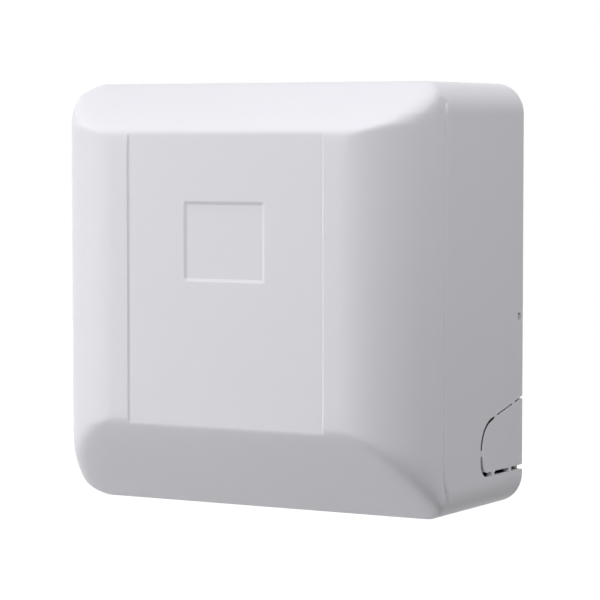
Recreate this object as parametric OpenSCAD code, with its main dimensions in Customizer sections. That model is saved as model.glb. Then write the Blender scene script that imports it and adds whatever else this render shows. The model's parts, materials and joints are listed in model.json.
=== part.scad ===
// Drain pump for a wall-mounted air conditioner. A wall plate carries a small tank, a
// vertical motor pump, a check valve, two float switches and a control box, and a deep
// moulded cover is pushed over them. Condensate runs in at the left nipple and is lifted
// out through the right one.
// X runs to the right as seen from the front. The wall is the plane y = 0 and the front
// faces -Y. Z runs up from the middle of the box. "Out" is the distance from the wall.

/* [Cover] */
// Width of the cover
case_w = 180; // [176:1:190]
// Height of the cover
case_h = 180; // [178:1:190]
// Distance from the wall to the flat front
case_d = 100; // [97:1:110]
// Corner radius seen from the front
corner_r = 15; // [12:0.5:18]
// Thickness of the cover's walls
wall = 2.4; // [2:0.1:2.6]
// Gap between the cover's rear edge and the wall
cover_gap = 0.8; // [0.5:0.1:1.5]
// Half width of the flat front, up to where the sides start to curve back
flat_half = 54; // [52:1:60]
// How far back the curve of each side ends
side_curve_d = 26; // [22:1:30]
// Small step where the curve of each side ends
crease_step = 0.5; // [0.2:0.1:0.8]
// Height of the slope at the top of the front
top_slope_h = 21.5; // [18:0.5:24]
// How far back the top slope runs
top_slope_d = 30; // [26:1:34]
// Bend of the top slope, where 1 is flat
top_slope_bend = 1.2; // [1.05:0.05:1.4]
// Height of the slope at the bottom of the front
bottom_slope_h = 37.5; // [34:0.5:39]
// How far back the bottom slope runs
bottom_slope_d = 32; // [28:1:34]
// Bend of the bottom slope, where 1 is flat
bottom_slope_bend = 1.45; // [1.3:0.05:1.8]

/* [Front panel] */
// Width of the shallow strip down the middle of the front
strip_w = 94; // [80:1:110]
// Depth of the strip
strip_deep = 0.5; // [0.3:0.1:0.6]
// Width of the bare square sunk into the strip
plaque_w = 39; // [30:0.5:46]
// Height of the bare square
plaque_h = 33.5; // [26:0.5:40]
// Depth of the bare square below the strip
plaque_deep = 0.7; // [0.5:0.1:1]
// Width of the sloping edge of the bare square
plaque_edge = 2; // [0.6:0.1:2.4]
// Height of the middle of the bare square above the middle of the cover
plaque_z = 23.5; // [15:0.5:30]

/* [Knock-outs] */
// How far out from the wall each knock-out reaches
knock_d = 41.7; // [34:0.1:44]
// Height of the knock-out's lower edge above the bottom of the cover
knock_low = 14.8; // [13:0.1:16]
// Height of the knock-out at the wall
knock_h = 31.8; // [28:0.1:34]
// How far the upper edge falls towards the front
knock_fall = 6.5; // [4:0.1:8]
// Radius of the upper front corner
knock_upper_r = 13.5; // [10:0.5:14]
// Radius of the lower front corner
knock_lower_r = 6.5; // [4:0.5:7]
// Width of the cut that frees the knock-out
knock_slit = 1.2; // [0.8:0.1:1.5]
// Width of the webs that hold the knock-out
knock_web = 2.6; // [1.5:0.1:4]

/* [Cover catches] */
// Height of the catch windows above the middle of the cover
catch_z = -9.4; // [-14:0.1:10]
// Distance of the window's middle from the wall
catch_out = 4.4; // [4.2:0.1:5]
// Window size along the depth
window_d = 2.9; // [2.6:0.1:3.2]
// Window height
window_h = 3.2; // [2.6:0.1:4]
// Height of the sprung tongue
tongue_h = 9; // [7:0.5:12]

/* [Back plate] */
// Thickness of the back plate
plate_t = 2.6; // [2.2:0.1:2.8]
// Gap between the back plate and the inside of the cover
plate_gap = 0.4; // [0.3:0.05:0.6]
// How far out the lip of the back plate reaches
lip_out = 9; // [8:0.5:11]
// Thickness of the lip
lip_t = 2; // [1.6:0.1:2.4]
// Radius of the four wall screw holes
wall_hole_r = 2.5; // [2:0.1:3]
// Distance of the wall screw holes from the middle, sideways and up
wall_hole_at = 76; // [74:0.5:78]
// Width of the pipe opening
pipe_opening_w = 20; // [16:1:21]
// Height of the pipe opening
pipe_opening_h = 52; // [40:1:60]
// Radius of the hole for the supply cable
cable_hole_r = 8; // [6:0.5:9]

/* [Tank] */
// Width of the tank
tank_w = 108; // [104:1:110]
// Depth of the tank, front to back
tank_d = 60; // [58:1:61]
// Height of the tank
tank_h = 48; // [46:1:48]
// Thickness of the tank's walls
tank_t = 2; // [1.6:0.1:2.4]
// Corner radius of the tank
tank_r = 8; // [6:0.5:9]
// Distance from the wall to the rear of the tank
tank_out = 12; // [11:0.5:13]
// Height of the tank's underside above the bottom of the cover
tank_lift = 10; // [9.5:0.5:10]
// Width of the flange round the tank's mouth
flange_w = 5; // [4.5:0.1:5.5]
// Thickness of the flange
flange_t = 3; // [2.6:0.1:3.2]
// Thickness of the gasket under the lid
gasket_t = 1.2; // [0.8:0.1:1.6]
// Thickness of the lid
lid_t = 2.5; // [2:0.1:3]

/* [Pump] */
// Place of the motor shaft, to the left of the middle
pump_x = -20; // [-21:0.5:-19]
// Distance of the motor shaft from the wall
pump_out = 46; // [45.5:0.5:47]
// Inner radius of the pump chamber
chamber_r = 20; // [19:0.5:20.5]
// Height of the pump casing
chamber_h = 18.5; // [18:0.1:19]
// Wall thickness of the pump casing
chamber_t = 2; // [1.6:0.1:2.2]
// Outer radius of the suction neck
neck_r = 9; // [8:0.1:9.2]
// Gap between the suction neck and the tank's floor
neck_clear = 5; // [4:0.5:6]
// Distance of the outlet spout's axis from the shaft, towards the wall
spout_off = 15; // [14.5:0.1:15.5]
// Outer radius of the outlet spout
spout_r = 7; // [6.5:0.1:7.2]
// Wall thickness of the outlet spout and of both nipples
spout_t = 2; // [1.5:0.1:2.4]
// Number of impeller blades
blade_count = 6; // [4:1:9]
// Thickness of an impeller blade
blade_t = 1.4; // [1:0.1:2]
// Height of the rubber mounts under the pump
mount_h = 8; // [7.5:0.1:9]

/* [Motor] */
// Outer radius of the motor case
motor_r = 21.5; // [20.5:0.1:21.6]
// Height of the motor case
motor_h = 23.5; // [23:0.1:24.5]
// Sheet thickness of the motor case
motor_t = 1; // [0.8:0.1:1.2]
// Radius of the motor shaft
shaft_r = 2; // [1.5:0.1:2.3]
// Radius of the rotor magnet
magnet_r = 10.8; // [9.5:0.1:11]
// Number of claws on each pole plate
claw_count = 8; // [4:1:12]

/* [Discharge] */
// Inner radius of the check valve chamber
valve_r = 10.3; // [10:0.1:10.6]
// Wall thickness of the check valve
valve_t = 1.7; // [1.3:0.1:2]
// Radius of the hole that the flap closes
seat_r = 5; // [4:0.1:5.2]
// Radius of the flap
flap_r = 6.5; // [6.2:0.1:6.8]
// Wall thickness of the short hose
hose_t = 2.15; // [1.8:0.05:2.4]
// Radius of the bends in the inlet and outlet elbows
elbow_bend = 10; // [9.5:0.5:10]
// Outer radius of the inlet nipple
inlet_r = 7; // [6:0.5:7.5]
// Outer radius of the outlet nipple
outlet_r = 7; // [6:0.5:7.5]
// Length of the plain part of each nipple
nipple_l = 16; // [12:1:18]

/* [Level switches] */
// Radius of each float
float_r = 8.5; // [7:0.1:8.8]
// Height of each float
float_h = 14; // [10:0.5:15]
// Rise of the float that starts the pump
run_rise = 12; // [8:0.5:13]
// Rise of the float that gives the alarm
alarm_rise = 8; // [5:0.5:8]
// Radius of the float stems
stem_r = 2.5; // [2.2:0.1:2.6]

/* [Control box] */
// Width of the control box
box_w = 116; // [112:1:118]
// Height of the control box
box_h = 44; // [42:1:44]
// How far out the control box's front edge lies
box_out = 34; // [33:0.5:40]
// Wall thickness of the control box
box_t = 2; // [1.6:0.1:2.2]
// Travel of the test button
button_travel = 1.5; // [0.8:0.1:1.8]

/* [Hidden] */
$fn = 48;
// Overrun of every cut, and how far joined shapes reach into one another
over = 1;
sink = over / 2;
// Straight steps in one rounded corner, and in one curve of the cover
arc_steps = 8;
curve_steps = 14;
// Gap of a tight fit, of a running fit and of a loose one
snug = 0.05;
running = 0.03;
loose = 0.3;

// Colours
white = [0.93, 0.93, 0.94];
ivory = [0.86, 0.85, 0.8];
grey = [0.55, 0.57, 0.6];
black = [0.12, 0.12, 0.13];
steel = [0.75, 0.76, 0.78];
copper = [0.72, 0.4, 0.2];
green = [0.1, 0.4, 0.22];
blue = [0.15, 0.35, 0.7];
clear_blue = [0.75, 0.85, 0.9];

// Inside of the cover, and the heights of its ends
inner_w = case_w - 2 * wall;
inner_h = case_h - 2 * wall;
top_z = case_h / 2;
bottom_z = -case_h / 2;

// Back plate: edges, pads, ribs and bosses
plate_w = inner_w - 2 * plate_gap;
plate_h = inner_h - 2 * plate_gap;
plate_r = corner_r - wall - plate_gap;
pad_r = 6.5;
pad_t = 1;
rib_t = 1.4;
rib_h = 2;
rib_place_shares = [-0.24, 0, 0.24];
boss_r = 4.2;
boss_bore_r = 1.45;
boss_bore_l = 5.4;
pipe_opening_r = 5;
pipe_opening_x = -(plate_w / 2 - lip_t - pipe_opening_w / 2 - over);
pipe_opening_z = 18;
cable_hole_x = 73;
cable_hole_z = 54;

// Screws of the housing: shank, head and recess
screw_r = 1.4;
screw_l = 5;
screw_head_r = 2.8;
screw_head_h = 2;
screw_hole_r = 1.6;
recess_w = 0.8;
recess_l = 3.2;
recess_d = 1;

// Tank: heights and lugs
tank_z = bottom_z + tank_lift;
tank_floor_z = tank_z + tank_t;
rim_z = tank_z + tank_h;
lid_z = rim_z + gasket_t;
deck_z = lid_z + lid_t;
tank_mid_out = tank_out + tank_d / 2;
lug_w = 12;
lug_h = 9;
lug_t = 3;
lug_x = tank_w / 2 + lug_w / 2;
lug_z = rim_z - flange_t - lug_h / 2;
lid_screw_r = 1.2;
lid_screw_l = 8;
lid_boss_r = 2.4;
lid_boss_h = 7;
lid_screw_in = 2.5;
lid_screw_side_share = 0.36;
lid_rib_t = 1.2;
lid_rib_h = 3;
lid_rib_gap = 0.4;

// Pump: heights above the lid
ear_z = deck_z + mount_h;
ear_t = 3;
ear_r = 5.5;
ear_at = 28;
ear_angles = [100, 210, 330];
chamber_drop = 4.7;
chamber_z = ear_z - chamber_drop;
chamber_floor = 2.5;
chamber_top_z = chamber_z + chamber_h;
chamber_out_r = chamber_r + chamber_t;
spout_z = (chamber_z + chamber_floor + chamber_top_z) / 2;
spout_out = pump_out - spout_off;
spout_l = 42;
spout_x = pump_x + spout_l;
neck_hole_gap = 2;
neck_t = 2;
neck_z = tank_floor_z + neck_clear;
collar_t = 1.2;
collar_h = 2.5;
pump_boss_r = 3.2;
pump_boss_at = chamber_out_r + 2.5;
pump_boss_h = 10;
pump_boss_angles = [0, 120, 240];
pump_cover_t = 2.5;
pump_cover_neck_r = 5;
pump_cover_neck_h = 1.5;
shaft_hole_r = 3;
pillar_h = 5;
mount_r = 5;
mount_bore_r = 2.4;
mount_screw_l = 16;
mount_screw_head_r = 3.3;
mount_boss_r = 3.4;
mount_boss_h = 7;

// Impeller and slinger
hub_r = 4.2;
impeller_r = 18.5;
impeller_gap = 1.2;
blade_h = 9;
blade_sweep = 38;
blade_steps = 6;
shroud_t = 1.4;
inducer_r = 2.6;
vane_r = 6.2;
vane_t = 1.2;
vane_count = 4;
inducer_clear = 3;
hub_floor = 1;
slinger_r = 7;
slinger_t = 1.3;
slinger_gap = 0.6;

// Strainer round the foot of the suction neck
strainer_r = 12.5;
strainer_t = 1.2;
strainer_h = 16;
strainer_slot_w = 2.2;
strainer_slots = 12;
strainer_band = 3;
strainer_seat_h = 2;
strainer_seat_t = 1.2;

// Motor, from its base plate up
motor_z = chamber_top_z + pump_cover_t + pillar_h;
motor_base_t = 2.5;
motor_case_z = motor_z + motor_base_t;
motor_top_z = motor_case_z + motor_h;
bearing_r = 5;
bearing_h = 4;
bearing_wall = 2;
bearing_foot = 0.5;
cap_t = 1.2;
magnet_gap = 2;
claw_gap = 0.6;
claw_t = 1.2;
claw_share = 0.55;
pole_t = 1.2;
pole_gap = 2.3;
pole_plate_r = motor_r - motor_t - 0.05;
coil_h = (motor_h - 2 * pole_gap - 4 * pole_t) / 2;
bobbin_t = 0.8;
bobbin_gap = 0.3;
winding_in = 0.6;
pump_screw_l = 19;
pump_screw_head_r = 2.5;

// Check valve: places along X
valve_z = spout_z;
valve_out = spout_out;
valve_out_r = valve_r + valve_t;
hose_gap = 2;
barb_x = spout_x + hose_gap;
barb_l = 12;
seat_x = barb_x + barb_l;
seat_t = 3;
valve_l = 20;
valve_end_x = seat_x + valve_l;
valve_seal_t = 1;
hinge_rise = 7.6;
hinge_ahead = 2.2;
pin_r = 0.9;
pin_l = 10.5;
knuckle_r = 1.8;
knuckle_l = 6.8;
hinge_ear_t = 1.5;
hinge_ear_r = 2;
flap_t = 1.2;
flap_gap = 0.1;
flap_weight_r = 4;
flap_weight_l = 5;
elbow_plug_l = 4;
elbow_flange_t = 1.5;
hose_overlap = 12;
clip_t = 1.2;
clip_w = 6;
clip_ear = 4;
cradle_w = 7;
cradle_t = 3;
cradle_h = 7;

// Outlet and inlet elbows
nipple_stop_r_extra = 2;
nipple_stop_t = 2;
outlet_x = valve_end_x + valve_seal_t + elbow_flange_t + elbow_bend;
outlet_top_z = valve_z - elbow_bend;
inlet_x = -outlet_x;
inlet_out = valve_out;
inlet_drop = 10.5;
inlet_z = rim_z - flange_t - inlet_drop;
inlet_reach = 8;
grommet_t = 1.6;
grommet_lip = 1.2;
grommet_lip_t = 1.5;

// Level switches
run_x = 20;
alarm_x = 42;
float_out = 59;
run_stem_up = 4;
alarm_stem_up = 12;
run_stem_z = tank_floor_z + run_stem_up;
alarm_stem_z = run_stem_z + alarm_stem_up;
stem_bore_r = 1.6;
stem_end_t = 1.5;
thread_r = 3.9;
thread_h = 7;
stem_flange_r = 6.5;
stem_flange_t = 2;
nut_r = 6.5;
nut_h = 4;
clip_ring_r = 4.6;
clip_ring_t = 1;
clip_ring_up = 1.5;
float_bore_gap = 0.4;
float_seat_gap = 0.2;
magnet_ring_in = 3.6;
magnet_ring_r = 6;
magnet_ring_h = 4;
reed_r = 1.2;
reed_l = 12;
reed_wire_r = 0.4;

// Control box: places and parts on its board
box_drop = 10;
box_z = top_z - box_drop - box_h;
box_mid_z = box_z + box_h / 2;
box_back = 6;
box_r = 5;
box_boss_x = 50;
box_boss_in = 6;
box_lid_t = 2;
box_post_r = 3.2;
box_post_in = 6;
box_notch_w = 5;
box_notch_h = 8;
box_lip_t = 1.2;
box_lip_h = 2.5;
standoff_r = 2.8;
standoff_h = 4;
board_w = 92;
board_h = 35;
board_t = 1.6;
board_hole_in = 3.6;
board_back = box_back + box_t + standoff_h;
board_front = board_back + board_t;
relay_size = [19, 15.5, 15.5];
relay_at = [-5, 9];
cap_r = 5;
cap_h = 16;
cap_at = [35, 8];
core_size = [22, 18, 17];
core_at = [18, 7];
core_leg = 4;
fuse_r = 2.6;
fuse_l = 20;
fuse_at = [-4, -6];
fuse_up = 4;
fuse_clip_t = 3;
fuse_clip_w = 7;
terminal_size = [30, 14, 14];
terminal_at = [-30.5, 1];
terminal_poles = 4;
terminal_wall = 1;
terminal_screw_r = 2.2;
terminal_screw_h = 3;
plug_size = [9, 6, 7];
plug_xs = [8, 20, 32];
plug_drop = 13.5;
plug_wall = 1;
switch_at = [39, -4];
switch_size = 6;
switch_h = 5;
plunger_r = 1.6;
plunger_in = 1.4;
plunger_gap = 0.2;
button_r = 3.2;
button_flange_r = 4.4;
button_flange_t = 1.2;
button_proud = 2;
lamp_at = [28, -3];
lamp_r = 2.4;
lamp_l = 7.5;
lamp_proud = 0.8;
lamp_leg_r = 0.4;
lamp_leg_gap = 1.3;

// Supply cable clamp
clamp_z = 30;
clamp_w = 20;
clamp_h = 8;
clamp_up = 8;
clamp_t = 2.5;
clamp_leg = 6;
clamp_screw_l = 9;

// Inside ribs of the cover that seat on the lip of the back plate
seat_rib_t = 1.6;
seat_rib_w = 2.6;
seat_rib_l = 46;
seat_rib_shares = [-0.3, 0.3];

// Leads between the board, the motor and the float switches
lead_r = 1.3;
lead_sides = 8;
lead_rings = 9;
lead_drop = 6;
lead_start = 9;
lead_lift_share = 0.5;
lead_start_share = 0.6;

// Outline helpers

// Corner of an outline: points of an arc
function arc(cx, cy, r, from, to, n = arc_steps) =
  [for (i = [0:n]) let (a = from + (to - from) * i / n) [cx + r * cos(a), cy + r * sin(a)]];

// Rounded rectangle round the origin
function round_rect(w, h, r) = concat(
  arc(w / 2 - r, h / 2 - r, r, 0, 90),
  arc(r - w / 2, h / 2 - r, r, 90, 180),
  arc(r - w / 2, r - h / 2, r, 180, 270),
  arc(w / 2 - r, r - h / 2, r, 270, 360)
);

// Extrudes an outline in width and height, from one distance out to another
module forward(from, to) {
  translate([0, -from, 0]) rotate([90, 0, 0]) linear_extrude(to - from) children();
}

// Extrudes an outline in distance out and height, along X
module across(from, to) {
  translate([from, 0, 0]) mirror([0, 1, 0]) rotate([90, 0, 90])
    linear_extrude(to - from) children();
}

// Extrudes an outline in width and distance out, upwards
module upward(from, to) {
  mirror([0, 1, 0]) translate([0, 0, from]) linear_extrude(to - from) children();
}

// Box between two places on each axis, with y given as distance out
module block(x0, x1, out0, out1, z0, z1) {
  translate([x0, -out1, z0]) cube([x1 - x0, out1 - out0, z1 - z0]);
}

// Round post that stands up
module post(x, out, z0, z1, r, r2 = -1) {
  translate([x, -out, z0]) cylinder(h = z1 - z0, r1 = r, r2 = r2 < 0 ? r : r2);
}

// Round peg that points to the front
module peg(x, z, out0, out1, r) {
  translate([x, -out0, z]) rotate([90, 0, 0]) cylinder(h = out1 - out0, r = r);
}

// Round rod that lies along X
module rod(x0, x1, out, z, r) {
  translate([x0, -out, z]) rotate([0, 90, 0]) cylinder(h = x1 - x0, r = r);
}

// Copies on both sides of the middle
module both_sides() {
  children();
  mirror([1, 0, 0]) children();
}

// Screw whose head sits on z = 0 with its shank below
module screw(r, l, head_r, head_h) {
  difference() {
    union() {
      translate([0, 0, -l]) cylinder(h = l, r = r);
      cylinder(h = head_h, r = head_r);
    }
    for (a = [0, 90])
      rotate([0, 0, a]) translate([-recess_l / 2, -recess_w / 2, head_h - recess_d])
        cube([recess_l, recess_w, recess_d + over]);
  }
}

// Housing screw with its head towards the front
module front_screw(x, z, seat_out) {
  translate([x, -seat_out, z]) rotate([90, 0, 0])
    screw(screw_r, screw_l, screw_head_r, screw_head_h);
}

// Cover

// Curve of one side of the front, from the flat to the crease, moved in by a wall
function side_curve(inset) = [
  for (i = [0:curve_steps]) let (a = 90 * i / curve_steps) [
    flat_half + (case_w / 2 - crease_step - flat_half - inset) * sin(a),
    case_d - side_curve_d + (side_curve_d - inset) * cos(a)
  ]
];

// Width and depth outline of the cover
function side_profile(inset) = let (
  curve = side_curve(inset),
  edge = case_w / 2 + over,
  right = concat(curve, [[edge, case_d - side_curve_d], [edge, -over]])
) concat(right, [for (i = [len(right) - 1:-1:0]) [-right[i][0], right[i][1]]]);

// Slope at one end of the front, as height past its start and depth behind the front
function slope_curve(h, d, bend, inset) = [
  for (i = [0:curve_steps + 1]) let (
    u = i / curve_steps,
    rise = d * pow(u, bend),
    lean = d * bend * pow(u, bend - 1),
    slant = sqrt(h * h + lean * lean)
  ) [h * u - inset * lean / slant, rise + inset * h / slant]
];

// Depth and height outline of the cover
function end_profile(inset) = let (
  top = slope_curve(top_slope_h, top_slope_d, top_slope_bend, inset),
  low = slope_curve(bottom_slope_h, bottom_slope_d, bottom_slope_bend, inset),
  top_points = [for (p = top) [case_d - p[1], top_z - top_slope_h + p[0]]],
  low_points = [for (p = low) [case_d - p[1], bottom_z + bottom_slope_h - p[0]]]
) concat(
  [for (i = [len(low_points) - 1:-1:0]) low_points[i]],
  top_points,
  [[-over, top_z + over], [-over, bottom_z - over]]
);

// Solid form of the cover, moved in by a wall thickness
module cover_form(inset, back) {
  intersection() {
    forward(back, case_d - inset)
      polygon(round_rect(case_w - 2 * inset, case_h - 2 * inset, corner_r - inset));
    upward(bottom_z - over, top_z + over) polygon(side_profile(inset));
    across(-case_w / 2 - over, case_w / 2 + over) polygon(end_profile(inset));
  }
}

// Outline of a knock-out in distance out and height, moved in by a share of its slit
function knock_points(inset) = let (
  low_z = bottom_z + knock_low,
  fall_angle = atan(knock_fall / (knock_d - knock_upper_r)),
  upper_x = knock_d - knock_upper_r,
  upper_z = low_z + knock_h - knock_fall - knock_upper_r / cos(fall_angle)
) concat(
  [[-over, low_z + inset]],
  arc(knock_d - knock_lower_r, low_z + knock_lower_r, knock_lower_r - inset, 270, 360),
  arc(upper_x, upper_z, knock_upper_r - inset, 0, 90 - fall_angle),
  [[-over, low_z + knock_h + over * tan(fall_angle) - inset / cos(fall_angle)]]
);

// Webs across the slit, as places on its lower, front and upper runs
knock_lower_web_shares = [0.28, 0.68];
knock_upper_web_shares = [0.2, 0.63];
knock_front_web_share = 0.29;
module knock_slits() {
  low_z = bottom_z + knock_low;
  across(case_w / 2 - wall - over, case_w / 2 + over) difference() {
    polygon(knock_points(0));
    polygon(concat([[-2 * over, low_z + knock_slit]], knock_points(knock_slit)));
    for (share = knock_lower_web_shares)
      translate([knock_d * share, low_z - over]) square([knock_web, knock_slit + 2 * over]);
    for (share = knock_upper_web_shares)
      translate([knock_d * share, low_z + knock_h / 2]) square([knock_web, knock_h]);
    translate([knock_d - knock_upper_r, low_z + knock_h * knock_front_web_share])
      square([knock_upper_r + over, knock_web]);
  }
}

// Sunk square with sloping edges, bare inside
module plaque_recess() {
  floor_out = case_d - strip_deep - plaque_deep;
  grow = plaque_edge * (plaque_deep + over) / plaque_deep;
  intersection() {
    upward(plaque_z - plaque_h, plaque_z + plaque_h)
      polygon([
        [-plaque_w / 2 + plaque_edge, floor_out],
        [plaque_w / 2 - plaque_edge, floor_out],
        [plaque_w / 2 - plaque_edge + grow, floor_out + plaque_deep + over],
        [-plaque_w / 2 + plaque_edge - grow, floor_out + plaque_deep + over]
      ]);
    across(-plaque_w, plaque_w)
      polygon([
        [floor_out, plaque_z - plaque_h / 2 + plaque_edge],
        [floor_out, plaque_z + plaque_h / 2 - plaque_edge],
        [floor_out + plaque_deep + over, plaque_z + plaque_h / 2 - plaque_edge + grow],
        [floor_out + plaque_deep + over, plaque_z - plaque_h / 2 + plaque_edge - grow]
      ]);
  }
}

module front_cover() color(white) {
  rib_back = lip_out + loose;
  difference() {
    cover_form(0, cover_gap);
    cover_form(wall, -over);
    block(-strip_w / 2, strip_w / 2, case_d - strip_deep, case_d + over, bottom_z, top_z);
    plaque_recess();
    both_sides() {
      knock_slits();
      block(
        case_w / 2 - wall - over, case_w / 2 + over,
        catch_out - window_d / 2, catch_out + window_d / 2,
        catch_z - window_h / 2, catch_z + window_h / 2
      );
    }
  }
  for (share = seat_rib_shares) {
    x = case_w * share;
    z = case_h * share;
    block(x - seat_rib_t / 2, x + seat_rib_t / 2, rib_back, rib_back + seat_rib_l,
      inner_h / 2 - seat_rib_w, inner_h / 2 + wall / 2);
    block(x - seat_rib_t / 2, x + seat_rib_t / 2, rib_back, rib_back + seat_rib_l,
      -inner_h / 2 - wall / 2, seat_rib_w - inner_h / 2);
    if (z > 0) both_sides()
      block(inner_w / 2 - seat_rib_w, inner_w / 2 + wall / 2, rib_back, rib_back + seat_rib_l,
        z - seat_rib_t / 2, z + seat_rib_t / 2);
  }
}

// Wall plate and catches

// Bosses for the tank and the control box, grown from the plate or drilled into them
module plate_bosses(drill) {
  places = concat(
    [[lug_x, lug_z, tank_out]],
    [for (z = [box_z + box_boss_in, box_z + box_h - box_boss_in]) [box_boss_x, z, box_back]]
  );
  both_sides() for (p = places)
    if (drill) peg(p[0], p[1], p[2] - boss_bore_l, p[2] + over, boss_bore_r);
    else peg(p[0], p[1], plate_t - sink, p[2], boss_r);
}

module back_plate() color(ivory) {
  knock_low_z = bottom_z + knock_low;
  clamp_foot_x = clamp_w / 2 - clamp_leg / 2;
  difference() {
    union() {
      forward(0, plate_t) polygon(round_rect(plate_w, plate_h, plate_r));
      difference() {
        forward(plate_t - sink, lip_out) polygon(round_rect(plate_w, plate_h, plate_r));
        forward(0, lip_out + over)
          polygon(round_rect(plate_w - 2 * lip_t, plate_h - 2 * lip_t, plate_r - lip_t));
        both_sides() {
          block(plate_w / 2 - lip_t - over, plate_w / 2 + over, plate_t, lip_out + over,
            knock_low_z, knock_low_z + knock_h);
          block(plate_w / 2 - lip_t - over, plate_w / 2 + over, plate_t, lip_out + over,
            catch_z - tongue_h / 2 - over, catch_z + tongue_h / 2 + over);
        }
      }
      for (x = [-1, 1], z = [-1, 1])
        peg(x * wall_hole_at, z * wall_hole_at, plate_t - sink, plate_t + pad_t, pad_r);
      for (share = rib_place_shares) {
        block(plate_w * share - rib_t / 2, plate_w * share + rib_t / 2,
          plate_t - sink, plate_t + rib_h, lip_t - plate_h / 2, plate_h / 2 - lip_t);
        block(-tank_w / 2, tank_w / 2, plate_t - sink, plate_t + rib_h,
          plate_h * share - rib_t / 2, plate_h * share + rib_t / 2);
      }
      plate_bosses(false);
    }
    plate_bosses(true);
    for (x = [-1, 1], z = [-1, 1])
      peg(x * wall_hole_at, z * wall_hole_at, -over, plate_t + pad_t + over, wall_hole_r);
    translate([pipe_opening_x, 0, pipe_opening_z]) forward(-over, plate_t + over)
      polygon(round_rect(pipe_opening_w, pipe_opening_h, pipe_opening_r));
    peg(cable_hole_x, cable_hole_z, -over, plate_t + over, cable_hole_r);
    for (x = [-1, 1])
      peg(cable_hole_x + x * clamp_foot_x, clamp_z, over, plate_t + over, boss_bore_r);
  }
}

// Two sprung tongues, one each side, whose noses stand in the cover's windows
module cover_catches() color(ivory) {
  tongue_x = plate_w / 2;
  window_back = catch_out - window_d / 2;
  nose_t = window_d / 2 - loose;
  both_sides() {
    block(tongue_x - lip_t, tongue_x - loose / 2, plate_t, lip_out,
      catch_z - tongue_h / 2, catch_z + tongue_h / 2);
    block(tongue_x - lip_t / 2, case_w / 2 - wall / 2, window_back + loose,
      window_back + loose + nose_t, catch_z - window_h / 2 + loose, catch_z + window_h / 2 - loose);
  }
}

// Tank, gasket and lid

// Outline of the tank in width and distance out, grown or shrunk
module tank_outline(grow) {
  translate([0, tank_mid_out])
    polygon(round_rect(tank_w + 2 * grow, tank_d + 2 * grow, tank_r + grow));
}

// Places of the lid screws
module at_lid_screws() {
  side_x = tank_w / 2 + flange_w - lid_screw_in;
  end_out = tank_d / 2 + flange_w - lid_screw_in;
  for (x = [-1, 1], y = [-1, 1])
    translate([x * side_x, -(tank_mid_out + y * tank_d * lid_screw_side_share), 0]) children();
  for (y = [-1, 1]) translate([0, -(tank_mid_out + y * end_out), 0]) children();
}

module drain_tank() color(clear_blue) difference() {
  union() {
    upward(tank_z, rim_z) tank_outline(0);
    upward(rim_z - flange_t, rim_z) tank_outline(flange_w);
    at_lid_screws() translate([0, 0, rim_z - lid_boss_h]) cylinder(h = lid_boss_h, r = lid_boss_r);
    both_sides() block(tank_w / 2 - over, lug_x + lug_w / 2, tank_out, tank_out + lug_t,
      lug_z - lug_h / 2, lug_z + lug_h / 2);
    both_sides() block(tank_w / 2 - over, tank_w / 2 + flange_w, tank_out, tank_out + lug_t,
      lug_z, rim_z - flange_t / 2);
  }
  difference() {
    upward(tank_floor_z, rim_z + over) tank_outline(-tank_t);
    difference() {
      post(pump_x, pump_out, tank_floor_z - over, tank_floor_z + strainer_seat_h,
        strainer_r + loose + strainer_seat_t);
      post(pump_x, pump_out, tank_floor_z - 2 * over, tank_floor_z + strainer_seat_h + over,
        strainer_r + loose);
    }
  }
  at_lid_screws() translate([0, 0, rim_z - lid_boss_h + over])
    cylinder(h = lid_boss_h, r = lid_screw_r + snug);
  both_sides() peg(lug_x, lug_z, tank_out - over, tank_out + lug_t + over, screw_hole_r);
  rod(-tank_w / 2 - over, over - tank_w / 2 + tank_t, inlet_out, inlet_z, inlet_r + grommet_t + snug);
}

module tank_gasket() color(black) difference() {
  upward(rim_z, lid_z) tank_outline(flange_w);
  upward(rim_z - over, lid_z + over) tank_outline(loose - tank_t);
  at_lid_screws() translate([0, 0, rim_z - over]) cylinder(h = gasket_t + 2 * over, r = screw_hole_r);
}

// Places of the rubber mounts
module at_mounts() {
  for (a = ear_angles)
    translate([pump_x + ear_at * cos(a), -pump_out + ear_at * sin(a), 0]) children();
}

module tank_lid() color(ivory) {
  difference() {
    union() {
      upward(lid_z, deck_z) tank_outline(flange_w);
      post(pump_x, pump_out, deck_z - sink, deck_z + collar_h, neck_r + neck_hole_gap + collar_t);
      at_mounts() translate([0, 0, deck_z - mount_boss_h])
        cylinder(h = mount_boss_h, r = mount_boss_r);
      for (side = [-1, 1]) block(
        seat_x, seat_x + cradle_w,
        valve_out + side * valve_out_r - cradle_t, valve_out + side * valve_out_r + cradle_t,
        deck_z - sink, deck_z + cradle_h
      );
    }
    post(pump_x, pump_out, lid_z - over, deck_z + collar_h + over, neck_r + neck_hole_gap);
    at_mounts() translate([0, 0, deck_z - mount_boss_h + over])
      cylinder(h = mount_boss_h, r = boss_bore_r);
    at_lid_screws() translate([0, 0, lid_z - over]) cylinder(h = lid_t + 2 * over, r = screw_hole_r);
    for (x = [run_x, alarm_x]) post(x, float_out, lid_z - over, deck_z + over, thread_r + loose);
    rod(seat_x - over, seat_x + cradle_w + over, valve_out, valve_z, valve_out_r + snug);
  }
  difference() {
    upward(lid_z - lid_rib_h, lid_z + sink) tank_outline(-tank_t - lid_rib_gap);
    upward(lid_z - lid_rib_h - over, lid_z + over) tank_outline(-tank_t - lid_rib_gap - lid_rib_t);
    for (x = [run_x, alarm_x])
      post(x, float_out, lid_z - lid_rib_h - over, lid_z, stem_flange_r + loose);
  }
}

module lid_screws() color(steel)
  at_lid_screws() translate([0, 0, deck_z]) screw(lid_screw_r, lid_screw_l, screw_head_r, screw_head_h);

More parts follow.
